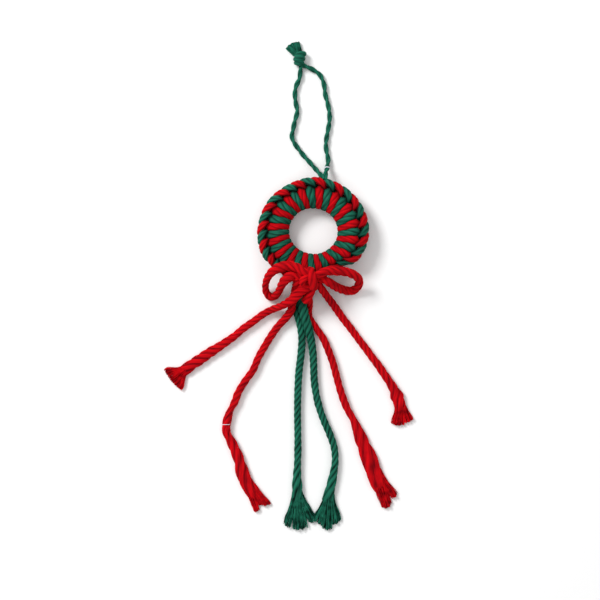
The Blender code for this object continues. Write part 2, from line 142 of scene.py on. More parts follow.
# How far the hitches have slid from their even places round the ring: degrees from the top, and degrees
HITCH_SLIDES = (
    (0, -0.4), (20, 0.4), (50, 2.3), (75, 3.7), (98, 4.8), (125, 7.0), (145, 7.0), (165, 5.4), (190, 4.2),
    (208, 4.4), (232, 1.0), (255, -2.3), (278, -3.4), (300, -2.0), (323, -1.5), (345, -2.0), (360, -0.4),
)

# Routes of the loose cords, as in the solids: x and y in millimetres from the wreath's middle, and a
# level where the cord is off the surface, 1 being where it lies on the wreath
ROUTES = {
    "red_tail_outer_left": (
        (-3.5, -26.5, 0.95), (-6.0, -28.6, 0.88), (-8.9, -31.6, 0.78), (-11.6, -33.6, 0.68),
        (-14.8, -35.3, 0.4), (-19.0, -36.9, 0.08), (-23.4, -39.2), (-28.0, -42.6), (-32.7, -45.9),
        (-36.5, -49.2), (-40.6, -52.1), (-44.8, -54.9), (-48.8, -57.4), (-52.7, -60.2), (-56.5, -62.6),
        (-59.9, -65.2), (-66.1, -70.2),
    ),
    "red_tail_inner_left": (
        (-8.1, -26.4, 0.55), (-8.7, -28.8, 0.44), (-9.1, -31.3, 0.37), (-9.6, -34.0, 0.33),
        (-10.1, -36.6, 0.29), (-12.1, -40.1, 0.1), (-16.5, -44.9), (-19.8, -49.6), (-22.9, -54.7),
        (-25.8, -59.9), (-28.1, -65.3), (-31.7, -70.3), (-35.0, -75.8), (-36.4, -79.7), (-38.9, -84.7),
        (-40.4, -90.1), (-40.4, -94.4), (-38.4, -98.4), (-36.1, -103.4), (-34.5, -107.6), (-33.0, -113.2),
        (-30.9, -118.2), (-27.8, -122.8), (-23.5, -129.4),
    ),
    "green_tail_left": (
        (-7.2, -26.8, 0.05), (-7.9, -29.6), (-8.4, -32.5), (-8.4, -35.4), (-7.8, -38.0), (-6.9, -40.8),
        (-5.8, -45.6), (-5.2, -51.0), (-5.6, -57.5), (-6.6, -65.8), (-7.1, -74.2), (-7.3, -83.1),
        (-7.2, -92.4), (-7.1, -101.3), (-7.3, -109.5), (-7.5, -114.9), (-7.4, -121.0), (-7.2, -126.5),
        (-6.2, -132.0), (-5.8, -138.9),
    ),
    "green_tail_right": (
        (-2.4, -26.9, 0.04), (-4.1, -29.2, 0.08), (-5.0, -31.6, 0.13), (-5.2, -34.0, 0.25),
        (-4.6, -37.2, 0.32), (-3.7, -40.9, 0.29), (-2.3, -45.6, 0.19), (-1.0, -51.2, 0.02), (-0.2, -56.5),
        (0.2, -62.0), (0.5, -69.5), (1.4, -76.5), (3.0, -83.1), (5.2, -89.2), (7.8, -95.2), (9.8, -101.3),
        (10.3, -107.5), (9.6, -113.0), (8.5, -118.5), (7.1, -124.3), (5.9, -130.0), (6.8, -138.6),
    ),
    "red_tail_inner_right": (
        (-0.2, -27.4, 0.44), (-1.2, -29.4, 0.39), (-1.6, -31.5, 0.33), (-1.5, -33.8, 0.19),
        (-1.7, -36.2, 0.02), (-1.9, -38.8), (-1.2, -41.4), (0.4, -43.9), (2.0, -46.5), (4.7, -50.5),
        (6.7, -55.0), (9.0, -61.1), (10.8, -67.6), (12.7, -74.6), (15.6, -82.6), (18.8, -88.5),
        (21.4, -94.8), (23.8, -100.9), (26.2, -106.6), (28.0, -111.8), (29.9, -116.2), (31.8, -120.0),
        (36.5, -126.4),
    ),
    "red_tail_outer_right": (
        (3.7, -27.3, 0.76), (5.9, -30.2, 0.48), (9.8, -35.3, 0.12), (13.6, -40.7), (17.4, -45.6),
        (21.5, -51.2), (24.6, -55.2), (27.4, -59.1), (30.4, -63.0), (33.0, -66.9), (35.6, -70.7),
        (37.7, -74.3), (39.4, -78.2), (40.7, -82.7), (41.5, -90.0),
    ),
    "bow_loop_left": (
        (-4.5, -19.7, 1.22), (-7.3, -17.8, 1.16), (-11.0, -16.8, 1.06), (-14.3, -17.3, 1.02),
        (-17.1, -18.3, 0.98), (-19.6, -20.1, 0.88), (-21.3, -22.6, 0.64), (-22.2, -25.8, 0.32),
        (-21.8, -29.0, 0.08), (-19.7, -31.2), (-17.4, -30.3, 0.12), (-15.8, -28.1, 0.4),
        (-14.7, -25.7, 0.7), (-13.2, -23.5, 0.92), (-11.0, -21.8, 1.0), (-8.2, -21.2, 1.0),
        (-4.9, -22.7, 1.01),
    ),
    "bow_loop_right": (
        (4.1, -20.0, 1.24), (6.6, -19.2, 1.14), (10.0, -19.2, 1.04), (14.1, -19.4, 1.0),
        (17.4, -20.3, 0.92), (20.2, -21.9, 0.7), (21.4, -24.2, 0.42), (20.4, -26.7, 0.16), (17.8, -28.3),
        (14.1, -27.8, 0.16), (10.4, -26.3, 0.56), (7.4, -24.5, 0.92), (4.7, -23.1, 1.01),
    ),
    "hanging_loop_left": (
        (3.2, 25.9, 0.45), (0.8, 28.9, 0.18), (-1.6, 31.8, 0.03), (-4.0, 34.4), (-6.6, 37.7), (-8.9, 41.0),
        (-9.9, 43.8), (-9.4, 47.0), (-8.5, 51.2), (-7.4, 55.5), (-8.0, 59.0), (-8.5, 62.9), (-8.0, 67.2),
        (-6.4, 70.9), (-5.9, 74.9),
    ),
    "hanging_loop_right": (
        (5.8, 25.9, 0.45), (6.5, 29.0, 0.16), (7.0, 33.0), (6.2, 37.2), (6.0, 41.0), (6.6, 45.0),
        (7.4, 49.4), (7.7, 53.6), (7.0, 58.5), (5.7, 63.4), (5.1, 68.1), (3.2, 72.6), (-0.1, 75.1),
        (-3.2, 76.5),
    ),
}

# Half width of each bow loop at each point of its route, in millimetres
BOW_LOOP_HALF_WIDTHS = {
    "bow_loop_left": (2.0, 2.2, 2.45, 2.5, 2.35, 2.05, 1.8, 1.65, 1.75, 1.9, 1.85, 1.8, 2.0, 2.3, 2.5, 2.2,
                      1.9),
    "bow_loop_right": (2.0, 2.15, 2.2, 2.2, 2.15, 2.05, 2.0, 2.0, 2.1, 2.1, 2.1, 2.1, 1.9),
}

# How each tail comes untwisted towards its tip: millimetres from the tip, the cord's half width and its
# lay there. The first line is where the cord ends inside its tufts.
LOOSENED = {
    "red_tail_outer_left": (
        (6.5, 2.9, 26), (10, 2.75, 22), (14, 2.65, 18), (22, 2.5, 16), (30, 2.0, 15), (38, 1.8, 14),
        (62, 1.75, 13), (74, 2.4, 12), (86, 2.8, 12),
    ),
    "red_tail_inner_left": (
        (6.0, 3.3, 60), (9, 3.4, 50), (13.4, 3.4, 42), (19, 3.1, 34), (25, 2.65, 28), (31, 2.45, 25),
        (39, 1.95, 22), (43.0, 2.1, 20), (46.3, 2.15, 19), (50, 1.55, 17), (55, 1.85, 16), (64, 1.75, 15),
        (90, 1.8, 14), (105, 1.9, 12),
    ),
    "green_tail_left": (
        (12.0, 2.9, 44), (15, 2.8, 34), (19, 2.6, 28), (24, 2.15, 20), (29, 1.75, 15), (34, 1.7, 13),
        (60, 1.75, 12), (80, 1.8, 12),
    ),
    "green_tail_right": (
        (12.0, 2.8, 44), (15, 2.6, 34), (19, 2.35, 26), (24, 2.1, 19), (28, 1.75, 15), (34, 1.7, 13),
        (60, 1.75, 12), (90, 1.9, 12), (101, 2.3, 12),
    ),
    "red_tail_inner_right": (
        (7.5, 3.7, 90), (11, 4.0, 80), (15, 4.05, 70), (20, 4.0, 58), (25, 3.8, 46), (30, 3.3, 36),
        (36, 2.65, 28), (41.8, 1.75, 20), (50, 1.8, 16), (80, 1.8, 14), (93, 1.5, 13),
    ),
    "red_tail_outer_right": (
        (5.5, 2.9, 34), (8, 2.95, 28), (12.5, 3.3, 23), (16, 2.35, 19), (20, 1.95, 17), (28, 1.9, 15),
        (36, 1.8, 14), (60, 1.8, 12),
    ),
}

# The tufts of yarn at the tips: where each starts and ends, its half widths there in millimetres, its
# share of the cord's yarns, and by how much its left side, seen along it, is longer. The tails are made
# in this order.
TUFTS = {
    "red_tail_outer_left": (((-57.9, -63.3), (-66.4, -70.5), 2.3, 6.3, 1.0, 0.0),),
    "red_tail_inner_left": (((-28.5, -119.2), (-22.0, -128.7), 1.8, 2.7, 0.66, 0.12),
                            ((-30.2, -120.2), (-26.2, -131.6), 1.5, 1.6, 0.40, 0.0)),
    "green_tail_left": (((-8.8, -123.6), (-12.3, -138.7), 1.0, 2.0, 0.30, 0.02),
                        ((-7.3, -122.6), (-5.9, -140.2), 2.1, 3.7, 0.54, 0.0),
                        ((-5.7, -123.4), (0.3, -136.6), 1.1, 2.0, 0.32, 0.0)),
    "green_tail_right": (((6.7, -123.0), (1.5, -136.6), 1.0, 2.2, 0.32, 0.0),
                         ((7.3, -122.4), (5.6, -139.9), 2.1, 3.0, 0.50, 0.06),
                         ((8.8, -123.2), (10.9, -137.4), 1.1, 2.4, 0.36, -0.05)),
    "red_tail_inner_right": (((29.6, -114.4), (34.8, -129.8), 3.3, 2.4, 0.66, 0.0),
                             ((31.2, -113.8), (38.5, -124.9), 1.4, 1.9, 0.44, 0.0)),
    "red_tail_outer_right": (((40.4, -82.4), (39.6, -91.3), 2.3, 3.0, 0.60, 0.0),
                             ((42.0, -82.4), (44.9, -89.7), 1.6, 2.2, 0.40, 0.0)),
}

# Where a loose cord goes on inside the knot or the wreath that it comes from, past the solids' ends
TUCKS = {
    "bow_loop_left": (((-1.4, -21.0, 1.20),), ((-2.4, -24.6, 0.98),)),
    "bow_loop_right": (((1.2, -21.6, 1.20),), ((1.8, -22.4, 1.0),)),
    "red_tail_outer_left": (((-0.6, -24.6, 1.02),), ()),
    "red_tail_inner_left": (((-6.6, -22.4, 1.02), (-7.7, -24.5, 0.86)), ()),
    "red_tail_inner_right": (((0.0, -25.4, 0.62),), ()),
    "red_tail_outer_right": (((1.6, -24.4, 0.95),), ()),
    "green_tail_left": (((-6.3, -24.4, 0.10),), ()),
    "green_tail_right": (((-1.2, -24.4, 0.10),), ()),
    "hanging_loop_left": (((5.0, 23.4, 0.55),), ((-5.8, 76.8, 0.05),)),
    "hanging_loop_right": (((5.6, 23.2, 0.55),), ((-5.2, 77.4, 0.05),)),
}

# Strands that show on the bow's knot: route, half width in millimetres
BOW_KNOT_STRANDS = {
    "wrap": (((-1.4, -18.7, 0.92), (-1.2, -19.8, 1.18), (-0.6, -22.3, 1.38), (-0.1, -24.8, 1.30),
              (0.3, -27.2, 1.0)), 2.12),
    "middle": (((-0.1, -25.4, 0.86), (-0.4, -27.0, 0.80), (-1.4, -29.2, 0.72), (-2.7, -31.4, 0.62),
                (-4.0, -33.8, 0.50)), 2.05),
    "bump": (((-1.8, -22.0, 1.20), (-3.3, -22.3, 1.34), (-4.8, -23.4, 1.28), (-5.2, -25.0, 1.06)), 1.6),
    "under_left": (((0.2, -23.4, 1.0), (-2.6, -22.4, 1.02), (-5.2, -22.0, 1.0)), 1.8),
    "under_right": (((-0.4, -22.2, 1.0), (2.2, -21.8, 1.02), (4.6, -21.6, 1.02)), 1.8),
}

# The hanging loop's knot, in millimetres: the centre of each wrap, the degrees by which it leans, its half
# sizes and its cord's radius. Its ends: where each tuft starts and ends, and its half width at the tip.
KNOT_WRAPS = (
    ((-6.0, 81.9, 2.2), 14, (1.55, 1.5), 1.45),
    ((-6.5, 80.0, 2.4), 6, (1.35, 1.6), 1.55),
    ((-6.6, 78.2, 2.2), -6, (1.0, 1.3), 1.50),
)
KNOT_ENDS = {
    "left": ((-7.9, 82.4), (-11.3, 86.8), 2.3),
    "right": ((-6.8, 82.8), (-8.2, 88.1), 1.7),
}

# The thin cord of the hanging loop: its plies and their spread, its yarns' tilt, and its rings' distance
HANGING_PLIES = 2
HANGING_SPREAD = 0.34
HANGING_TILT = 0.2
HANGING_SPACING = 0.3 * MM

# The tufts of its knot: half width at the root in millimetres, height there, and share of a cord's yarns
KNOT_END_ROOT_HALF_WIDTH = 1.7
KNOT_END_HEIGHT = 2.4 * MM
KNOT_END_SHARE = 0.50

# The white threads: the cord that each is wound on, the setting of its diameter, how far along it the
# thread lies, and how far from there each turn is, both in millimetres
THREADS = {
    "thread_on_hanging_loop": ("hanging_loop_right", "hanging_diameter", 4.4, (-0.35, 0.1)),
    "thread_on_red_tail": ("red_tail_inner_left", "diameter", 73.9, (0.0,)),
}
THREAD_RADIUS = 0.16 * MM

# The stage: the table's width, and the lamp's width and place, in metres
TABLE_WIDTH = 4.0
LAMP_WIDTH = 0.56
LAMP_PLACE = (-0.82, 0.72, 0.93)
LAMP_AIM = (0, -0.03, 0)


def hex_colour(text):
    """An sRGB hex colour as linear red, green, blue and alpha."""
    channels = [int(text[i:i + 2], 16) / 255 for i in (0, 2, 4)]
    return tuple(c / 12.92 if c <= 0.04045 else ((c + 0.055) / 1.055) ** 2.4 for c in channels) + (1.0,)


# Settings

def a_length(name, description, default, least=0.0):
    """A setting that is a length, given in millimetres."""
    return FloatProperty(name=name, description=description, default=default * MM, min=least * MM,
                         unit="LENGTH")


def a_share(name, description, default, least=0.0, most=2.0):
    """A setting that is a share or a strength."""
    return FloatProperty(name=name, description=description, default=default, min=least, max=most)


def a_count(name, description, default, least=0, most=1000):
    """A setting that is a whole number."""
    return IntProperty(name=name, description=description, default=default, min=least, max=most)


def a_colour(name, description, text):
    """A setting that is a colour, given in sRGB hex."""
    return FloatVectorProperty(name=name, description=description, default=hex_colour(text)[:3],
                               subtype="COLOR", size=3, min=0, max=1)


class CordSettings(PropertyGroup):
    """The cotton cord: its size, how it is twisted, and its dyes. A lay is the length of cord in which a
    ply goes round once."""
    diameter: a_length("Cord diameter", "Of the bow, the red tails and the wreath", 3.6, 1)
    green_diameter: a_length("Green tail diameter", "Of the two green tails", 3.5, 1)
    plies: a_count("Plies", "Plies twisted into the cord", 4, 2, 6)
    ply_spread: a_share("Ply spread", "How far a ply's centre is from the cord's, in radii", 0.42, 0, 0.49)
    bow_lay: a_length("Lay in the bow", "The lay in the bow, where the cord is slack", 14.0, 3)
    red_ply_spread: a_share("Red ply spread", "The ply spread of the softer red cord", 0.38, 0, 0.49)
    hitch_lay: a_length("Lay in the hitches", "The lay where the cord is pulled tight", 20.0, 3)
    hitch_ply_spread: a_share("Ply spread in the hitches", "Where the cord is squeezed", 0.34, 0, 0.49)
    hanging_diameter: a_length("Hanging cord diameter", "Of the thin two-ply cord", 2.35, 0.5)
    hanging_lay: a_length("Hanging cord lay", "The lay of the thin cord", 10.0, 3)
    red: a_colour("Red", "Dye of the bow's cord", "CE0812")
    green: a_colour("Green", "Dye of the other cord", "22715A")


class WreathSettings(PropertyGroup):
    """The hitched ring. All but the band's depth go into its tree."""
    hole_radius: a_length("Hole radius", "From the middle to the hitches", 11.2, 2)
    band_width: a_length("Band width", "Of the flat band under the hitches", 13.0, 2)
    band_depth: a_length("Band depth", "Of the flat band under the hitches", 9.2, 2)
    oval: a_share("Oval", "Height of the ring over its width", 0.97, 0.5)
    hole_oval: a_share("Hole oval", "Height of the hole over its width", 0.935, 0.5)
    hole_drop: a_length("Hole drop", "How far the hole sits below the ring's middle", 0.5, -5)
    ring_drop: a_length("Ring drop", "How far its outer edge sits below the ring's middle", 0.2, -5)
    pressing: a_share("Pressing", "How strongly the bow presses the band out of its width", 1.0)
    sliding: a_share("Sliding", "How far the hitches have slid from their even places", 1.0, 0, 1.5)
    pairs: a_count("Hitch pairs", "Red and green hitches round the ring", 16, 4, 40)
    unevenness: a_length("Unevenness", "How far a hitch strays from its even place", 0.75)
    seed: a_count("Seed", "For the unevenness", 7)


class FraySettings(PropertyGroup):
    """The opened ends of the cords."""
    yarns: a_count("Yarns", "Yarns in a cord", 190, 8, 600)
    yarn_diameter: a_length("Yarn diameter", "Of one yarn", 0.30, 0.05)
    thickness: a_length("Thickness", "Of a tuft where it lies flat", 1.9, 0.1)
    crimp: a_length("Crimp", "How far the yarns keep the waves of their twist", 0.9)
    crimp_length: a_length("Crimp length", "Length of one wave", 6.0, 1)
    seed: a_count("Seed", "For the yarns' lengths and places", 3)


class StageSettings(PropertyGroup):
    """Floor, lights and camera."""
    lens: FloatProperty(name="Lens", description="Focal length of the camera", default=100 * MM,
                        min=10 * MM, unit="CAMERA")
    key: FloatProperty(name="Key light", description="Power of the large light at the upper left",
                       default=16.2, min=0, unit="POWER")
    fill: a_share("Fill", "Strength of the white room round the table", 0.66)
    floor: a_colour("Floor", "Colour of the table", "FCFCFC")


# Kinds of node that are used often. A math node's is a pair, with its operation.
VECTOR_MATH = "ShaderNodeVectorMath"
NOISE = "ShaderNodeTexNoise"
MIX = "ShaderNodeMix"
ADD, SUBTRACT, MULTIPLY, MULTIPLY_ADD, DIVIDE, MAXIMUM, SQRT, FRACT, SINE, COSINE, ARCTAN2 = (
    ("ShaderNodeMath", operation) for operation in (
        "ADD", "SUBTRACT", "MULTIPLY", "MULTIPLY_ADD", "DIVIDE", "MAXIMUM", "SQRT", "FRACT", "SINE", "COSINE",
        "ARCTAN2"))


def add_node(tree, kind, inputs=(), **settings):
    """A node with its settings, and a value or a link for its inputs, in turn or by name. Where a node is
    given, its first output is linked."""
    if isinstance(kind, tuple):
        kind, settings["operation"] = kind
    made = tree.nodes.new(kind)
    for name, value in settings.items():
        setattr(made, name, value)
    keyed = inputs if isinstance(inputs, dict) else dict(enumerate(inputs))
    for key, value in keyed.items():
        source = value.outputs[0] if isinstance(value, bpy.types.Node) else value
        if isinstance(source, bpy.types.NodeSocket):
            tree.links.new(source, made.inputs[key])
        else:
            made.inputs[key].default_value = source
    return made


# Materials

# How strongly the yarns' streaks and the dye's patches change the shade, and the value of a streak's noise
# that leaves it as it is
STREAK_CONTRAST = 1.9
STREAK_MIDDLE = 0.4
PATCH_CONTRAST = 0.36

# Sizes of the patterns. A yarn is about 0.3 mm wide, too fine to show, so the streaks of a cord are drawn
# 0.7 mm wide. The floss looks smooth, so its streaks stay finer than a pixel of the photograph. The
# thread's wave gives it a band every 0.38 mm.
CORD_STREAKS = (0.70 * MM, 8 * MM)
FLOSS_STREAKS = (0.25 * MM, 6 * MM)
FRAYED_PATCH = 2.6 * MM
DYE_PATCH = 6 * MM
THREAD_WAVE = 1.2 * MM
YARN_RELIEF = 0.25 * MM
THREAD_RELIEF = 0.1 * MM


def new_material(name, **sockets):
    """A material with values on its shader's own sockets, and what adds a node to it."""
    material = bpy.data.materials.new(name)
    material.use_nodes = True
    shader = material.node_tree.nodes["Principled BSDF"]
    for socket, value in sockets.items():
        shader.inputs[socket.replace("_", " ")].default_value = value
    return material, partial(add_node, material.node_tree)


def coloured(material, colour, bump):
    """The material with a colour and a relief linked to its shader."""
    shader = material.node_tree.nodes["Principled BSDF"]
    material.node_tree.links.new(colour.outputs["Result"], shader.inputs["Base Color"])
    material.node_tree.links.new(bump.outputs["Normal"], shader.inputs["Normal"])
    return material


def cotton(name, lit, dark_tone_and_shade, painted_shade_strength, streak_size=CORD_STREAKS, frayed=False):
    """Spun, plied and dyed cotton: matt with a soft sheen, streaked along its yarns, with painted shade
    between the plies.
    Lit is its colour on the plies; the dark colour is that of its streaks and of the painted shade in the
    grooves, where no light comes."""
    material, add = new_material(name, Roughness=0.88, Specular_IOR_Level=0.06, Sheen_Weight=0.03,
                                 Sheen_Roughness=0.45, Sheen_Tint=lit)
    place = add("ShaderNodeTexCoord").outputs["Object"]
    if frayed:
        # A frayed yarn has no UV map, and its fibres are too fine to show, so its shade changes in patches
        streaks = add(NOISE, {"Vector": place, "Scale": 1 / FRAYED_PATCH, "Detail": 1.0})
    else:
        along = add("ShaderNodeMapping", {"Vector": add("ShaderNodeUVMap", uv_map="UVMap"),
                                          "Scale": (*streak_size, 1)}, vector_type="TEXTURE")
        streaks = add(NOISE, {"Vector": along, "Scale": 1.0, "Detail": 3.0, "Roughness": 0.62})
    # The attribute holds painted shade: on a cord for its grooves, seams and sunk hitches; on frayed yarns
    # each yarn's random tone with painted shade between the bunches
    painted_shade = add("ShaderNodeAttribute", attribute_name="yarn_shade" if frayed else "painted_shade").outputs["Fac"]
    # Dye takes unevenly over a few millimetres of cord
    patches = add(NOISE, {"Vector": place, "Scale": 1 / DYE_PATCH, "Detail": 1.0})
    patches = add(MULTIPLY_ADD, (patches, PATCH_CONTRAST, -PATCH_CONTRAST / 2))
    shade = add(MULTIPLY_ADD, (streaks, STREAK_CONTRAST, -STREAK_MIDDLE * STREAK_CONTRAST))
    shade = add(MULTIPLY_ADD, (painted_shade, painted_shade_strength, shade))
    shade = add(ADD, (shade, patches), use_clamp=True)
    colour = add(MIX, {"Factor": shade, "A": lit, "B": dark_tone_and_shade}, data_type="RGBA")
    bump = add("ShaderNodeBump", {"Height": streaks, "Strength": 0.55, "Distance": YARN_RELIEF})
    return coloured(material, colour, bump)


def sewing_thread():
    """Mercerised white sewing thread: smooth, so a little glossy, with bluish shade between its twists."""
    material, add = new_material("white sewing thread", Roughness=0.55)
    place = add("ShaderNodeTexCoord").outputs["Object"]
    wave = add("ShaderNodeTexWave", {"Vector": place, "Scale": 1 / THREAD_WAVE, "Distortion": 2.0})
    twist = wave.outputs["Fac"]
    white, shade = hex_colour("FBFCFF"), hex_colour("C9D3E6")
    colour = add(MIX, {"Factor": twist, "A": white, "B": shade}, data_type="RGBA")
    bump = add("ShaderNodeBump", {"Height": twist, "Strength": 0.4, "Distance": THREAD_RELIEF})
    return coloured(material, colour, bump)


MATERIALS = {}


def materials():
    """The finishes, made once."""
    if not MATERIALS:
        cords = bpy.context.scene.ornament_cord
        red, green = (*cords.red, 1.0), (*cords.green, 1.0)
        # The dark colours of the streaks and of the painted shade
        red_dark_tone_and_shade, green_dark_tone_and_shade = hex_colour("4E0008"), hex_colour("041A14")
        # Softly twisted cotton cord, dyed bright red: the painted shade in its grooves stays red
        MATERIALS["red"] = cotton("red cotton cord", red, red_dark_tone_and_shade, 0.55)
        # The same cord dyed a dark green: the painted shade in its grooves goes nearly black
        MATERIALS["green"] = cotton("green cotton cord", green, green_dark_tone_and_shade, 0.80)
        # Tightly twisted cotton floss in that green: its streaks are finer
        MATERIALS["hanging"] = cotton("green cotton floss", green, green_dark_tone_and_shade, 0.75, FLOSS_STREAKS)
        # Yarns of the cords, combed open: light comes in between them, so their painted shade is weaker than
        # a groove's
        MATERIALS["red_frayed"] = cotton("red cotton yarn", red, red_dark_tone_and_shade, 0.35, frayed=True)
        MATERIALS["green_frayed"] = cotton("green cotton yarn", green, green_dark_tone_and_shade, 0.70, frayed=True)
        MATERIALS["thread"] = sewing_thread()
    return MATERIALS


# Routes and cord surfaces

def placed(route, rest):
    """Route points in metres; rest is the height of the cord's centre above the surface."""
    full = [(*point, 0)[:3] for point in route]
    return np.array([(x * MM, y * MM, rest + level * (OVER_WREATH - rest)) for x, y, level in full])


def curved(points, steps):
    """Points along a Catmull-Rom curve from the second point to the last but one, without the last."""
    fine = []
    for a, b, c, d in zip(points, points[1:], points[2:], points[3:]):
        for t in np.linspace(0, 1, steps, endpoint=False):
            fine.append(0.5 * (2 * b + (c - a) * t + (2 * a - 5 * b + 4 * c - d) * t ** 2
                               + (3 * b - 3 * c + d - a) * t ** 3))
    return fine


def smooth(points, spacing):
    """A curve through all the points, at an even spacing."""
    ends = np.vstack([2 * points[0] - points[1], points, 2 * points[-1] - points[-2]])
    return evened(np.array([*curved(ends, ROUTE_STEPS), points[-1]]), spacing)


def evened(fine, spacing):
    """The same line with its points a spacing apart."""
    along = lengths_along(fine)
    count = max(4, round(along[-1] / spacing) + 1)
    want = np.linspace(0, along[-1], count)
    return np.stack([np.interp(want, along, fine[:, i]) for i in range(fine.shape[1])], axis=1)


def lengths_along(points):
    """How far along the line each point is."""
    return np.concatenate([[0.0], np.cumsum(np.linalg.norm(np.diff(points[:, :3], axis=0), axis=1))])


def unit(vectors):
    """The vectors at length 1."""
    return vectors / np.linalg.norm(vectors, axis=-1, keepdims=True)


def carried_frames(points):
    """Tangent, normal and side at each point, carried along the line without turning round it."""
    tangents = unit(np.gradient(points, axis=0))
    normal = unit(UP - tangents[0] * tangents[0].dot(UP))
    normals = []
    for tangent in tangents:
        normal = unit(normal - tangent * tangent.dot(normal))
        normals.append(normal)
    normals = np.array(normals)
    return tangents, normals, np.cross(tangents, normals)


def lobed(around, plies, spread):
    """Outline of plies laid together, as a share of the cord's radius."""
    half = math.pi / plies
    turned = (around + half) % (2 * half) - half
    return spread * np.cos(turned) + np.sqrt((1 - spread) ** 2 - (spread * np.sin(turned)) ** 2)


def pressed(wave, square):
    """A sine or cosine pressed towards a square section; 2 leaves it round."""
    return np.sign(wave) * np.abs(wave) ** (2 / square)


def rope_mesh(name, points, normals, sides_way, widths, heights, turns, plies, spreads, square, sides,
              tilts, capped=True, shades=0.0, painted_seam_shade=0.0):
    """A twisted cord's surface along a line. The columns of its faces follow the plies. It has a UV map
    in metres, across and along the yarns, which lie at a tilt to their ply, and an attribute of painted shade
    that says how deep in a groove, in the shade or in the seam beside its neighbour a point is."""
    rings = len(points)
    around = np.arange(sides) * 2 * math.pi / sides
    share = lobed(around[None, :], plies, spreads[:, None])
    angles = around[None, :] + turns[:, None]
    across = widths[:, None] * share * pressed(np.sin(angles), square[:, None])
    above = heights[:, None] * share * pressed(np.cos(angles), square[:, None])
    places = points[:, None] + across[..., None] * sides_way[:, None] + above[..., None] * normals[:, None]
    places = places.reshape(-1, 3)
    # Painted shade: darker between the plies, in the seams beside the neighbours, where a hitch lies sunk,
    # and on the caps
    painted_cord_shade = (1 - share) / np.maximum(1 - share.min(axis=1, keepdims=True), 1e-6)
    painted_cord_shade = painted_cord_shade * np.clip(spreads / FULL_GROOVE_SPREAD, 0, 1)[:, None] ** 2
    beside = np.clip((np.abs(np.sin(angles)) - SEAM_START) / SEAM_WIDTH, 0, 1) ** 2
    painted_cord_shade = (np.maximum(painted_cord_shade, painted_seam_shade * beside) + np.reshape(shades, (-1, 1))).ravel()
    ring, column = np.indices((rings - 1, sides)).reshape(2, -1, 1)
    after = (column + 1) % sides
    ends = ring + (0, 0, 1, 1)
    faces = (ends * sides + np.hstack([column, after, after, column])).tolist()
    if capped:
        places = np.vstack([places, points[0], points[-1]])
        painted_cord_shade = np.append(painted_cord_shade, [CAP_SHADE, CAP_SHADE])
        first, last = rings * sides, rings * sides + 1
        for j in range(sides):
            k = (j + 1) % sides
            faces.append((first, k, j))
            faces.append((last, (rings - 1) * sides + j, (rings - 1) * sides + k))
    mesh = bpy.data.meshes.new(name)
    mesh.from_pydata(places.tolist(), [], faces)
    along = lengths_along(points)
    girth = 2 * math.pi * float(np.mean(widths)) / sides
    slide = np.concatenate([[0.0], np.cumsum(np.diff(along) * np.tan(tilts[1:]))])
    uvs = np.zeros((len(mesh.loops), 2))
    uvs[:ends.size, 0] = ((column + (0, 1, 1, 0)) * girth + slide[ends]).ravel()
    uvs[:ends.size, 1] = along[ends].ravel()
    mesh.uv_layers.new(name="UVMap").data.foreach_set("uv", uvs.ravel())
    mesh.attributes.new("painted_shade", "FLOAT", "POINT").data.foreach_set("value", painted_cord_shade)
    mesh.shade_smooth()
    mesh.validate()
    return mesh


def rope_along(name, line, radii, plies, spread, lay, sides=32, tilt=YARN_TILT):
    """A round rope mesh along evenly spaced points, all its plies turning at one lay."""
    _, normals, sides_way = carried_frames(line)
    turns = 2 * math.pi * lengths_along(line) / lay
    alike = np.ones(len(line))
    return rope_mesh(name, line, normals, sides_way, radii, radii, turns, plies, spread * alike, 2 * alike,
                     sides, tilt * alike)


def flat_frames(line):
    """Upward normal and side at each point of a line that nowhere stands upright."""
    tangents = unit(np.gradient(line, axis=0))
    normals = unit(UP - tangents * tangents[:, 2:])
    return normals, np.cross(tangents, normals)


def shown(name, mesh, material, slot, *nodes):
    """The finished piece: an object at the origin that rides on the ornament and stands for its nodes."""
    mesh.materials.clear()
    mesh.materials.append(material)
    piece = bpy.data.objects.new(name, mesh)
    bpy.context.scene.collection.objects.link(piece)
    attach(piece, BODY)
    if nodes:
        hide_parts(*nodes)
    return piece


def joined(name, meshes):
    """One mesh from several."""
    form = bmesh.new()
    for mesh in meshes:
        form.from_mesh(mesh)
    whole = bpy.data.meshes.new(name)
    form.to_mesh(whole)
    form.free()
    whole.shade_smooth()
    for mesh in meshes:
        bpy.data.meshes.remove(mesh)
    return whole


# Geometry Nodes

def new_tree(name, **inputs):
    """An empty Geometry Nodes tree with inputs of each kind, and what adds a node to it."""
    tree = bpy.data.node_groups.new(name, "GeometryNodeTree")
    for kind, labels in {"Geometry": "mesh", **inputs}.items():
        for label in labels.split():
            tree.interface.new_socket(label, in_out="INPUT", socket_type="NodeSocket" + kind)
    tree.interface.new_socket("Geometry", in_out="OUTPUT", socket_type="NodeSocketGeometry")
    return tree, tree.nodes.new("NodeGroupInput").outputs, partial(add_node, tree)


def end_tree(add, geometry, material):
    """The tree's end: instances realized, shaded smooth, with its material."""
    real = add("GeometryNodeRealizeInstances", {"Geometry": geometry})
    even = add("GeometryNodeSetShadeSmooth", {"Geometry": real})
    finished = add("GeometryNodeSetMaterial", {"Geometry": even, "Material": material})
    add("NodeGroupOutput", {"Geometry": finished})


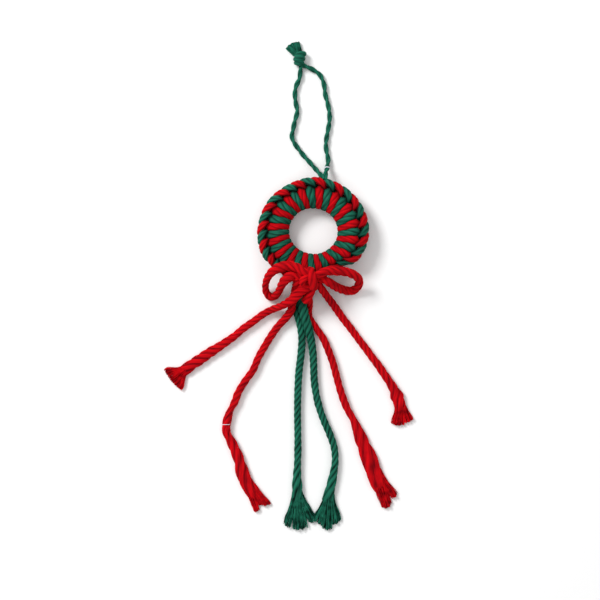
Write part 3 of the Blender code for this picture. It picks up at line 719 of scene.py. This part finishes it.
def grown(name, mesh, tree, values):
    """The plain mesh that a tree makes from a mesh, with the inputs given."""
    host = bpy.data.objects.new(name, mesh)
    bpy.context.scene.collection.objects.link(host)
    modifier = host.modifiers.new("Grow", "NODES")
    modifier.node_group = tree
    for item in tree.interface.items_tree:
        if item.item_type == "SOCKET" and item.in_out == "INPUT" and item.name in values:
            modifier[item.identifier] = values[item.name]
    bpy.context.view_layer.update()
    made = bpy.data.meshes.new_from_object(host.evaluated_get(bpy.context.evaluated_depsgraph_get()))
    host.modifiers.remove(modifier)
    bpy.data.objects.remove(host)
    bpy.data.meshes.remove(mesh)
    made.name = name
    return made


def set_curve(node, table, low, high):
    """Gives a Float Curve node a table's values round the ring, as shares of the way from low to high."""
    curve = node.mapping.curves[0]
    spots = [(degrees / 360, (value - low) / (high - low)) for degrees, value in table]
    curve.points[0].location, curve.points[-1].location = spots[0], spots[-1]
    for spot in spots[1:-1]:
        curve.points.new(*spot)
    node.mapping.update()


# A curve holds values from 0 to 1, so each table is brought into that range and back: hitches slide less
# than this many degrees either way, and no part of the band is wider than this share
SLIDE_LIMIT = 10.0
SHARE_LIMIT = 1.25

# Length of the waves in which hitches stray from their places, and the gap that joins one hitch to the next
STRAY_WAVE = 9 * MM
JOIN_GAP = 0.004 * MM


def hitch_ring_tree():
    """Repeats one hitch round the ring, joins them into one cord, makes the ring oval and strays a little."""
    tree, given, add = new_tree(
        "hitch ring", Int="pairs seed", Material="cord",
        Float="hole_radius band_width oval hole_oval hole_drop ring_drop pressing sliding unevenness")
    spots = add("GeometryNodeMeshLine", {"Count": given["pairs"], "Offset": (0, 0, 0)})
    turn = add(MULTIPLY, (add("GeometryNodeInputIndex"), -2 * math.pi))
    turn = add(DIVIDE, (turn, given["pairs"]))
    turned = add("ShaderNodeCombineXYZ", {"Z": turn})
    ring = add("GeometryNodeInstanceOnPoints", {"Points": spots, "Instance": given["mesh"],
                                                "Rotation": turned})
    ring = add("GeometryNodeRealizeInstances", {"Geometry": ring})
    ring = add("GeometryNodeMergeByDistance", {"Geometry": ring, "Distance": JOIN_GAP})
    noise = add(NOISE, {"Vector": add("GeometryNodeInputPosition"), "W": given["seed"],
                        "Scale": 1 / STRAY_WAVE, "Detail": 0.0}, noise_dimensions="4D")
    stray = add(VECTOR_MATH, (noise.outputs["Color"], (-0.5, -0.5, -0.5)), operation="ADD")
    stray = add(VECTOR_MATH, (stray, (1.0, 1.0, 0.5)), operation="MULTIPLY")
    stray = add(VECTOR_MATH, {0: stray, "Scale": given["unevenness"]}, operation="SCALE")
    ring = add("GeometryNodeSetPosition", {"Geometry": ring, "Offset": stray})
    x, y, z = add("ShaderNodeSeparateXYZ", {"Vector": add("GeometryNodeInputPosition")}).outputs
    around = add(ARCTAN2, (x, y))
    reach = add(MULTIPLY, (y, y))
    reach = add(MULTIPLY_ADD, (x, x, reach))
    reach = add(SQRT, (reach,))
    part_round = add(DIVIDE, (around, 2 * math.pi))
    slid = add("ShaderNodeFloatCurve", {"Value": add(FRACT, (part_round,))})
    set_curve(slid, HITCH_SLIDES, -SLIDE_LIMIT, SLIDE_LIMIT)
    slid = add(MULTIPLY_ADD, (slid, math.radians(2 * SLIDE_LIMIT), math.radians(-SLIDE_LIMIT)))
    around = add(MULTIPLY_ADD, (slid, given["sliding"], around))
    part_round = add(DIVIDE, (around, 2 * math.pi))
    share = add("ShaderNodeFloatCurve", {"Value": add(FRACT, (part_round,))})
    set_curve(share, BAND_SHARES, 0.0, SHARE_LIMIT)
    share = add(MULTIPLY, (share, SHARE_LIMIT))
    share = add(SUBTRACT, (share, 1.0))
    share = add(MULTIPLY_ADD, (share, given["pressing"], 1.0))
    past_hole = add(SUBTRACT, (reach, given["hole_radius"]))
    past_hole = add(MULTIPLY, (past_hole, share))
    reach = add(ADD, (past_hole, given["hole_radius"]))
    outwards = add(DIVIDE, (past_hole, given["band_width"]), use_clamp=True)
    oval = add(MIX, {"Factor": outwards, "A": given["hole_oval"], "B": given["oval"]})
    drop = add(MIX, {"Factor": outwards, "A": given["hole_drop"], "B": given["ring_drop"]})
    x = add(MULTIPLY, (reach, add(SINE, (around,))))
    y = add(MULTIPLY, (reach, add(COSINE, (around,))))
    y = add(MULTIPLY, (y, oval))
    y = add(SUBTRACT, (y, drop))
    moved = add("ShaderNodeCombineXYZ", (x, y, z))
    end_tree(add, add("GeometryNodeSetPosition", {"Geometry": ring, "Position": moved}), given["cord"])
    return tree


# The chances that a yarn takes in its tuft: the least, the most, and what is added to the seed
YARN_CHANCES = {
    "stray": (-0.05, 0.05, 1),
    "layer": (-1.0, 1.0, 2),
    "length": (0.94, 1.0, 3),
    "shade": (-0.25, 0.85, 5),
}
# How far the yarns gather into bunches, and how much painted shade lies between the bunches, by what share of
# its length a tuft's sides differ from its middle, and the shares of its length between which it opens
GATHERING = 0.22
ROUNDING = -0.07
OPENING = (0.28, 0.95)
YARN_POINTS = 16
YARN_SIDES = 5

# The crimp's waves: how much they change from layer to layer, their noise's scale, and the share of the
# crimp by which a yarn swings at its root, and as much more at its tip
LAYER_CHANGE = 0.6
SWAY_SCALE = 1.6
ROOT_SWING = 0.3
MORE_SWING = 1.2

# The share of a tuft's half width that its yarns' centres keep to, and how flat its heap of yarns is at the
# tip: the share of its height left at the sides, and what the middle has more
CENTRES_WITHIN = 0.95
SIDE_HEIGHT = 0.4
MIDDLE_MORE = 0.55


def tuft_tree():
    """Yarns side by side that leave a cord's end and spread into a flat tuft, lying along +X."""
    tree, given, add = new_tree(
        "tuft", Int="yarns seed", Vector="place", Material="yarn",
        Float="length start_half_width start_height tip_half_width tip_height slant bunches yarn_radius "
              "crimp crimp_length turn")
    # Each yarn gets its place across the tuft, its layer, its length and its random tone, with painted shade
    # between the bunches
    chance = {}
    for label, (low, high, added) in YARN_CHANCES.items():
        seed = add(ADD, (given["seed"], float(added)))
        chance[label] = add("FunctionNodeRandomValue", {2: low, 3: high, "Seed": seed}).outputs[1]
    spots = add("GeometryNodeMeshLine", {"Count": given["yarns"], "Offset": (0, 0, 0)})
    even = add(ADD, (add("GeometryNodeInputIndex"), 0.5))
    even = add(DIVIDE, (even, given["yarns"]))
    even = add(MULTIPLY_ADD, (even, 2.0, -1.0))
    across = add(ADD, (even, chance["stray"]))
    wave = add(MULTIPLY, (given["bunches"], math.pi))
    wave = add(MULTIPLY, (across, wave))
    wave = add(ADD, (wave, given["seed"]))
    gathered = add(MULTIPLY, (add(SINE, (wave,)), GATHERING))
    gathered = add(DIVIDE, (gathered, given["bunches"]))
    reach = add(MULTIPLY, (across, given["slant"]))
    reach = add(ADD, (chance["length"], reach))
    square = add(MULTIPLY, (across, across))
    kept = {
        "across": across,
        "across_tip": add(ADD, (across, gathered)),
        "layer": chance["layer"],
        "reach": add(MULTIPLY_ADD, (square, ROUNDING, reach)),
        # Painted shade between the bunches, on top of each yarn's random tone
        "yarn_shade": add(MULTIPLY_ADD, (add(COSINE, (wave,)), GATHERING, chance["shade"])),
    }
    for label, value in kept.items():
        spots = add("GeometryNodeStoreNamedAttribute", {"Geometry": spots, "Name": label, 3: value})
    line = add("GeometryNodeCurvePrimitiveLine", {"End": (1, 0, 0)})
    line = add("GeometryNodeResampleCurve", {"Curve": line, "Count": YARN_POINTS})
    yarns = add("GeometryNodeInstanceOnPoints", {"Points": spots, "Instance": line})
    yarns = add("GeometryNodeRealizeInstances", {"Geometry": yarns})

    own = {label: add("GeometryNodeInputNamedAttribute", {"Name": label}) for label in kept}
    share = add("GeometryNodeSplineParameter").outputs["Factor"]
    opened = add("ShaderNodeMapRange", {"Value": share, "From Min": OPENING[0], "From Max": OPENING[1]},
                 interpolation_type="SMOOTHSTEP")
    x = add(MULTIPLY, (given["length"], own["reach"]))
    x = add(MULTIPLY, (x, share))
    # Neighbours keep their waves together, as yarns do that were twisted in one ply
    where = add("ShaderNodeCombineXYZ", (
        add(DIVIDE, (x, given["crimp_length"])),
        add(MULTIPLY, (own["across"], given["bunches"])),
        add(MULTIPLY, (own["layer"], LAYER_CHANGE))))
    sway = add(NOISE, {"Vector": where, "W": given["seed"], "Scale": SWAY_SCALE, "Detail": 0.0},
               noise_dimensions="4D")
    sway = add(VECTOR_MATH, (sway.outputs["Color"], (0.5, 0.5, 0.5)), operation="SUBTRACT")
    sway = add("ShaderNodeSeparateXYZ", (sway,)).outputs
    swing = add(MULTIPLY_ADD, (share, MORE_SWING, ROOT_SWING))
    swing = add(MULTIPLY, (given["crimp"], swing))
    half_width = add(MIX, {"Factor": opened, "A": given["start_half_width"], "B": given["tip_half_width"]})
    half_width = add(MULTIPLY, (half_width, CENTRES_WITHIN))
    place = add(MIX, {"Factor": opened, "A": own["across"], "B": own["across_tip"]})
    y = add(MULTIPLY, (swing, sway[0]))
    y = add(MULTIPLY_ADD, (place, half_width, y))
    # At the root the yarns fill a round heap, at the tip a flat one
    side = add(MULTIPLY, (own["across"], own["across"]))
    side = add(SUBTRACT, (1.0, side), use_clamp=True)
    side = add(SQRT, (side,))
    flat = add(MULTIPLY_ADD, (side, MIDDLE_MORE, SIDE_HEIGHT))
    side = add(MIX, {"Factor": opened, "A": side, "B": flat})
    height = add(MIX, {"Factor": opened, "A": given["start_height"], "B": given["tip_height"]})
    half_height = add(MULTIPLY, (height, 0.5))
    z = add(MULTIPLY_ADD, (own["layer"], side, 1.0))
    z = add(MULTIPLY, (half_height, z))
    z = add(MULTIPLY_ADD, (swing, sway[1], z))
    z = add(MAXIMUM, (z, given["yarn_radius"]))
    moved = add("ShaderNodeCombineXYZ", (x, y, z))
    yarns = add("GeometryNodeSetPosition", {"Geometry": yarns, "Position": moved})
    ring = add("GeometryNodeCurvePrimitiveCircle", {"Resolution": YARN_SIDES, "Radius": given["yarn_radius"]})
    yarns = add("GeometryNodeCurveToMesh", {"Curve": yarns, "Profile Curve": ring, "Fill Caps": True})
    turned = add("ShaderNodeCombineXYZ", {"Z": given["turn"]})
    yarns = add("GeometryNodeTransform", {"Geometry": yarns, "Translation": given["place"],
                                          "Rotation": turned})
    end_tree(add, yarns, given["yarn"])
    return tree


TREES = {}


def tree_for(name, build):
    """A tree that is built once, for every piece that grows from it."""
    if name not in TREES:
        TREES[name] = build()
    return TREES[name]


# Pieces

def cord_line(name, radius, spacing=RING_SPACING):
    """The line of a loose cord, with what goes on inside the knots at its ends."""
    before, after = TUCKS[name]
    line = smooth(placed((*before, *ROUTES[name], *after), radius), spacing)
    line[:, 2] = np.maximum(line[:, 2], radius)
    return line


def eased(at, places, values):
    """Values at places along a cord, eased from one to the next."""
    i = np.clip(np.searchsorted(places, at) - 1, 0, len(places) - 2)
    t = np.clip((at - places[i]) / (places[i + 1] - places[i]), 0, 1)
    t = t * t * (3 - 2 * t)
    return values[i] * (1 - t) + values[i + 1] * t


# A tuft has this many bunches for each millimetre of its half width at the tip, and at least this many
BUNCHES_PER_MM = 0.9
FEWEST_BUNCHES = 1.5


def tuft(name, root, tip, start_half_width, tip_half_width, share, slant, start_height, dye, seed):
    """One tuft of loose yarns, from its root in the cord to its tip."""
    fray = bpy.context.scene.ornament_fray
    way = np.array(tip) - np.array(root)
    values = dict(
        yarns=round(fray.yarns * share), length=float(np.linalg.norm(way)) * MM,
        start_half_width=start_half_width * MM, start_height=start_height,
        tip_half_width=tip_half_width * MM, tip_height=fray.thickness, slant=slant,
        bunches=max(FEWEST_BUNCHES, tip_half_width * BUNCHES_PER_MM), yarn_radius=fray.yarn_diameter / 2,
        crimp=fray.crimp, crimp_length=fray.crimp_length, seed=fray.seed + seed,
        place=(root[0] * MM, root[1] * MM, 0.0), turn=math.atan2(way[1], way[0]),
        yarn=materials()[dye + "_frayed"])
    return grown(name, bpy.data.meshes.new("seed"), tree_for("tuft", tuft_tree), values)


# A tail's section: how much flatter it lies and how much wider its plies spread where it is loose, by what
# share of its width it has to widen for that, the length over which it ends inside its tufts, the share of
# its height left there, and how unevenly thick it is, every few millimetres
FLATTENING = 0.22
LOOSE_SPREAD = 0.49
LOOSE_WIDENING = 0.9
END_LENGTH = 3 * MM
END_HEIGHT = 0.45
THICKNESS_CHANGE = 0.025
THICKNESS_STEP = 4 * MM
TAIL_SIDES = 40

# Height of a tuft's root in radii of its tail, and how far apart the tails' seeds are
TUFT_ROOT_HEIGHT = 1.5
SEEDS_APART = 7


def tail(name, seed):
    """A tail of cord that comes untwisted towards its tip and ends in tufts."""
    cords = bpy.context.scene.ornament_cord
    dye = name.split("_")[0]
    slot = dye + "_cotton_cord"
    diameter, spread = {"red": (cords.diameter, cords.red_ply_spread),
                        "green": (cords.green_diameter, cords.ply_spread)}[dye]
    radius = diameter / 2
    line = cord_line(name, radius)
    from_tip = lengths_along(line)[-1] - lengths_along(line)
    table = np.array(LOOSENED[name]) * MM
    line = line[from_tip >= table[0, 0]]
    from_tip = from_tip[:len(line)]
    widths = eased(from_tip, table[:, 0], table[:, 1])
    lays = eased(from_tip, table[:, 0], table[:, 2])
    rng = np.random.default_rng(seed)
    steps = np.arange(0, from_tip[0] + 2 * THICKNESS_STEP, THICKNESS_STEP)
    widths *= 1 + np.interp(from_tip, steps, rng.normal(0, THICKNESS_CHANGE, len(steps)))
    loose = np.clip((widths / radius - 1) / LOOSE_WIDENING, 0, 1)
    ending = np.clip((from_tip - from_tip[-1]) / END_LENGTH, 0.0, 1.0)
    heights = radius * (1 - FLATTENING * loose) * (END_HEIGHT + (1 - END_HEIGHT) * np.sqrt(ending))
    line[:, 2] = np.maximum(line[:, 2] - (radius - heights), heights)
    turns = np.cumsum(2 * math.pi * lengths_along(line)[1] / lays)
    spreads = spread + (LOOSE_SPREAD - spread) * loose
    normals, sides_way = flat_frames(line)
    mesh = rope_mesh(name, line, normals, sides_way, widths, heights, turns, cords.plies, spreads,
                     np.full(len(line), 2.0), TAIL_SIDES, YARN_TILT * (1 - loose))
    rope = shown(name + "_cord", mesh, materials()[dye], slot, name)
    start_height = TUFT_ROOT_HEIGHT * radius * (1 - FLATTENING * loose[-1])
    ends = [tuft("tuft", *shape, start_height, dye, seed * SEEDS_APART + i)
            for i, shape in enumerate(TUFTS[name])]
    fan = shown(name + "_tufts", joined(name + "_tufts", ends), materials()[dye + "_frayed"], slot)


# The share of a knot strand's length over which each end is rounded, and how much slacker it is than the bow
ROUNDED_END = 0.08
SLACKER = 1.3


def strand(name, route, half_width, cords):
    """A short strand of the bow's knot, with rounded ends."""
    line = smooth(placed(route, cords.diameter / 2), RING_SPACING)
    along = lengths_along(line) / lengths_along(line)[-1]
    near_end = np.clip(np.abs(along - 0.5) - (0.5 - ROUNDED_END), 0, ROUNDED_END) / ROUNDED_END
    radii = half_width * MM * np.sqrt(np.clip(1 - near_end ** 2, 0.02, 1))
    return rope_along(name, line, radii, cords.plies, cords.red_ply_spread, cords.bow_lay * SLACKER)


# The cord in the hanging knot, pulled tight: its plies, their spread and its lay
WRAP_CORD = (3, 0.30, 14 * MM)
WRAP_SPACING = 0.25 * MM


def knot_wrap(place, lean, halves, thick):
    """One turn of the hanging loop's knot: a leaning oval ring of cord, lifted off the surface."""
    angles = np.linspace(0, 2 * math.pi, 64)
    lean = math.radians(lean)
    x, z = halves[0] * np.cos(angles), halves[1] * np.sin(angles)
    line = np.stack([x * math.cos(lean), x * math.sin(lean), z], axis=1) * MM + np.array(place) * MM
    line = evened(line, WRAP_SPACING)
    line[:, 2] = np.maximum(line[:, 2], thick * MM)
    return rope_along("wrap", line, np.full(len(line), thick * MM), *WRAP_CORD, sides=24)


# A turn of thread: how far it reaches down each side of its cord in degrees, how far it climbs along the cord
# in each radian, how far out it lies in radii of the cord, its plies, their spread and its lay, the distance
# between its rings, its lowest place over the surface, and the spacing of the cord's points
THREAD_REACH = 110
THREAD_CLIMB = 0.25 * MM
THREAD_OUT = 1.03
THREAD_TWIST = (2, 0.3, 1.5 * MM)
THREAD_SPACING = 0.15 * MM
THREAD_FLOOR = 0.2 * MM
THREAD_LINE_SPACING = 0.2 * MM


def thread_turn(line, at, radius, shift):
    """One turn of thread over the top of a cord, from side to side and a little along it."""
    tangents, normals, sides_way = carried_frames(line)
    angles = np.radians(np.linspace(-THREAD_REACH, THREAD_REACH, 40))
    slide = (shift + THREAD_CLIMB * angles)[:, None] * tangents[at]
    over = np.cos(angles)[:, None] * normals[at] + np.sin(angles)[:, None] * sides_way[at]
    wound = line[at] + slide + radius * THREAD_OUT * over
    wound[:, 2] = np.maximum(wound[:, 2], THREAD_FLOOR)
    wound = evened(wound, THREAD_SPACING)
    return rope_along("turn", wound, np.full(len(wound), THREAD_RADIUS), *THREAD_TWIST, sides=8)


def hitch_places(wreath, values, first, pitch):
    """Centres of a hitch and the ways out of the band there, from rows of its table."""
    angle = first + values[:, 0] * pitch
    turn = np.radians(values[:, 1])
    out = unit(np.stack([np.cos(turn) / wreath.band_width, np.sin(turn) / wreath.band_depth], axis=1))
    reach = wreath.hole_radius + wreath.band_width / 2 * (1 + np.cos(turn)) + values[:, 2] * MM * out[:, 0]
    height = wreath.band_depth / 2 * (1 + np.sin(turn)) + values[:, 2] * MM * out[:, 1]
    places = np.stack([reach * np.sin(angle), reach * np.cos(angle), height], axis=1)
    normals = np.stack([out[:, 0] * np.sin(angle), out[:, 0] * np.cos(angle), out[:, 1]], axis=1)
    return places, normals


def hitch_mesh(wreath, cords, first, pitch, rings=104, sides=28):
    """One hitch of the wreath, from its start under the last ridge to the start of the next hitch."""
    rows = np.array(HITCH)
    step = np.array((2, 360, 0, 0, 0, 0, 0))
    fine = np.array(curved(np.vstack([rows[-2:] - step, rows, rows[:3] + step]), HITCH_STEPS))
    along = lengths_along(hitch_places(wreath, fine, first, pitch)[0])
    start, end = along[HITCH_STEPS], along[HITCH_STEPS * (1 + len(HITCH))]
    want = start + (end - start) * np.arange(-1, rings + 1) / (rings - 1)
    values = np.stack([np.interp(want, along, fine[:, i]) for i in range(fine.shape[1])], axis=1)
    places, normals = hitch_places(wreath, values, first, pitch)
    tangents = unit(places[2:] - places[:-2])
    places, normals, values = places[1:-1], normals[1:-1], values[1:-1]
    normals = unit(normals - tangents * np.sum(normals * tangents, axis=1, keepdims=True))
    whole_turns = max(1, round((end - start) / cords.hitch_lay * cords.plies)) / cords.plies
    turns = 2 * math.pi * whole_turns * np.arange(rings) / (rings - 1)
    return rope_mesh("hitch", places, normals, np.cross(tangents, normals), values[:, 3] * MM,
                     values[:, 4] * MM, turns, cords.plies, np.full(rings, cords.hitch_ply_spread),
                     values[:, 5], sides, np.full(rings, YARN_TILT / 2), capped=False,
                     shades=values[:, 6], painted_seam_shade=1.4)


class ORNAMENT_OT_stage(Operator):
    """Lay out the pale table, the soft lights and the camera over the ornament"""
    bl_idname = "ornament.stage"
    bl_label = "Stage"

    def execute(self, context):
        scene = context.scene
        stage = scene.ornament_stage
        scene.view_settings.view_transform = "Standard"
        scene.view_settings.look = "None"
        bpy.ops.mesh.primitive_plane_add(size=TABLE_WIDTH)
        floor = context.object
        floor.name = "table"
        # Matt white paper, which shows nothing but the soft shadows
        paper, _ = new_material("white paper", Base_Color=(*stage.floor, 1.0), Roughness=0.95)
        floor.data.materials.append(paper)
        scene.world = bpy.data.worlds.new("white room")
        scene.world.use_nodes = True
        room = scene.world.node_tree.nodes["Background"].inputs
        room["Color"].default_value = hex_colour("FFFFFF")
        room["Strength"].default_value = stage.fill
        lamp = bpy.data.lights.new("soft box", "AREA")
        lamp.shape = "DISK"
        lamp.size = LAMP_WIDTH
        lamp.energy = stage.key
        soft_box = bpy.data.objects.new("soft box", lamp)
        scene.collection.objects.link(soft_box)
        soft_box.location = LAMP_PLACE
        aim = Vector(LAMP_AIM) - soft_box.location
        soft_box.rotation_euler = aim.to_track_quat("-Z", "Y").to_euler()
        lens = bpy.data.cameras.new("camera")
        lens.lens = stage.lens / MM
        lens.clip_start = 0.01
        scene.camera = bpy.data.objects.new("camera", lens)
        scene.collection.objects.link(scene.camera)
        middle = PHOTO_PIXELS / 2
        scene.camera.location = ((middle - WREATH_PIXEL[0]) * PIXEL, (WREATH_PIXEL[1] - middle) * PIXEL,
                                 PHOTO_PIXELS * PIXEL * lens.lens / lens.sensor_width)
        return {"FINISHED"}


class ORNAMENT_OT_tails(Operator):
    """Make the four red and two green tails with their frayed ends"""
    bl_idname = "ornament.tails"
    bl_label = "Tails"

    def execute(self, context):
        for seed, name in enumerate(TUFTS, 1):
            tail(name, seed)
        return {"FINISHED"}


class ORNAMENT_OT_bow(Operator):
    """Make the bow's two loops and the strands of its knot"""
    bl_idname = "ornament.bow"
    bl_label = "Bow"

    def execute(self, context):
        cords = context.scene.ornament_cord
        red = materials()["red"]
        for name, half_widths in BOW_LOOP_HALF_WIDTHS.items():
            before, after = TUCKS[name]
            halves = np.pad(half_widths, (len(before), len(after)), mode="edge") * MM
            points = placed((*before, *ROUTES[name], *after), cords.diameter / 2)
            line = smooth(np.column_stack([points, halves]), RING_SPACING)
            radii, line = line[:, 3], line[:, :3]
            line[:, 2] = np.maximum(line[:, 2], radii)
            mesh = rope_along(name, line, radii, cords.plies, cords.red_ply_spread, cords.bow_lay)
            loop = shown(name + "_cord", mesh, red, "red_cotton_cord", name)
        strands = [strand(name, *shape, cords) for name, shape in BOW_KNOT_STRANDS.items()]
        shown("bow_knot_strands", joined("bow_knot_strands", strands), red, "red_cotton_cord", "bow_knot")
        return {"FINISHED"}


class ORNAMENT_OT_wreath(Operator):
    """Hitch the red and the green cord round the ring"""
    bl_idname = "ornament.wreath"
    bl_label = "Wreath"

    def execute(self, context):
        cords = context.scene.ornament_cord
        wreath = context.scene.ornament_wreath
        pitch = math.pi / wreath.pairs
        values = {name: getattr(wreath, name) for name in wreath.__annotations__}
        for dye, first in (("red", FIRST_RED_SPOKE), ("green", FIRST_RED_SPOKE + pitch)):
            node = "wreath_" + dye + "_cord"
            cord = materials()[dye]
            one = hitch_mesh(wreath, cords, first, pitch)
            ring = grown(node, one, tree_for("hitch ring", hitch_ring_tree), {**values, "cord": cord})
            shown(node + "_hitches", ring, cord, dye + "_cotton_cord", node)
        return {"FINISHED"}


class ORNAMENT_OT_hanging_loop(Operator):
    """Make the thin two-ply hanging loop, its knot and the knot's frayed ends"""
    bl_idname = "ornament.hanging_loop"
    bl_label = "Hanging loop"

    def execute(self, context):
        cords = context.scene.ornament_cord
        slot = "green_cotton_cord"
        floss = materials()["hanging"]
        wraps = joined("hanging_knot_wraps", [knot_wrap(*shape) for shape in KNOT_WRAPS])
        shown("hanging_knot_wraps", wraps, floss, slot, "hanging_knot")
        on_left = ["hanging_knot_wraps"]
        for side, (start, tip, half_width) in KNOT_ENDS.items():
            name = "hanging_knot_end_" + side
            mesh = tuft(name, start, tip, KNOT_END_ROOT_HALF_WIDTH, half_width, KNOT_END_SHARE, 0.0,
                        KNOT_END_HEIGHT, "green", round(tip[1]))
            on_left.append(shown(name, mesh, materials()["green_frayed"], slot))
        radius = cords.hanging_diameter / 2
        for name, on_leg in (("hanging_loop_left", on_left), ("hanging_loop_right", [])):
            line = cord_line(name, radius, HANGING_SPACING)
            mesh = rope_along(name, line, np.full(len(line), radius), HANGING_PLIES, HANGING_SPREAD,
                              cords.hanging_lay, 24, HANGING_TILT)
            leg = shown(name + "_cord", mesh, floss, slot, name)
        return {"FINISHED"}


class ORNAMENT_OT_threads(Operator):
    """Wind the white sewing thread over the hanging loop and the inner left tail"""
    bl_idname = "ornament.threads"
    bl_label = "Threads"

    def execute(self, context):
        for name, (cord, wound_on, distance, shifts) in THREADS.items():
            radius = getattr(context.scene.ornament_cord, wound_on) / 2
            line = smooth(placed(ROUTES[cord], radius), THREAD_LINE_SPACING)
            line[:, 2] = np.maximum(line[:, 2], radius)
            at = np.searchsorted(lengths_along(line), distance * MM)
            turns = [thread_turn(line, at, radius, shift * MM) for shift in shifts]
            shown(name + "_turns", joined(name, turns), materials()["thread"], "sewing_thread", name)
        return {"FINISHED"}


class ORNAMENT_PT_panel(Panel):
    """Lists the steps that dress the ornament"""
    bl_label = "Macrame wreath ornament"
    bl_idname = "ORNAMENT_PT_panel"
    bl_space_type = "VIEW_3D"
    bl_region_type = "UI"
    bl_category = "Ornament"

    def draw(self, context):
        for group in ("ornament_cord", "ornament_wreath", "ornament_fray", "ornament_stage"):
            settings = getattr(context.scene, group)
            for name in settings.__annotations__:
                self.layout.prop(settings, name)
        for step in STEPS:
            self.layout.operator(step.bl_idname)


STEPS = (ORNAMENT_OT_stage, ORNAMENT_OT_tails, ORNAMENT_OT_bow, ORNAMENT_OT_wreath,
         ORNAMENT_OT_hanging_loop, ORNAMENT_OT_threads)
GROUPS = {"ornament_cord": CordSettings, "ornament_wreath": WreathSettings, "ornament_fray": FraySettings,
          "ornament_stage": StageSettings}


def register():
    for group in (*GROUPS.values(), *STEPS, ORNAMENT_PT_panel):
        bpy.utils.register_class(group)
    for name, group in GROUPS.items():
        setattr(bpy.types.Scene, name, PointerProperty(type=group))


def unregister():
    for name in GROUPS:
        delattr(bpy.types.Scene, name)
    for group in (ORNAMENT_PT_panel, *reversed(STEPS), *GROUPS.values()):
        bpy.utils.unregister_class(group)


def main():
    """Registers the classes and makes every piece."""
    register()
    for step in STEPS:
        group, name = step.bl_idname.split(".")
        getattr(getattr(bpy.ops, group), name)()


if __name__ == "__main__":
    main()
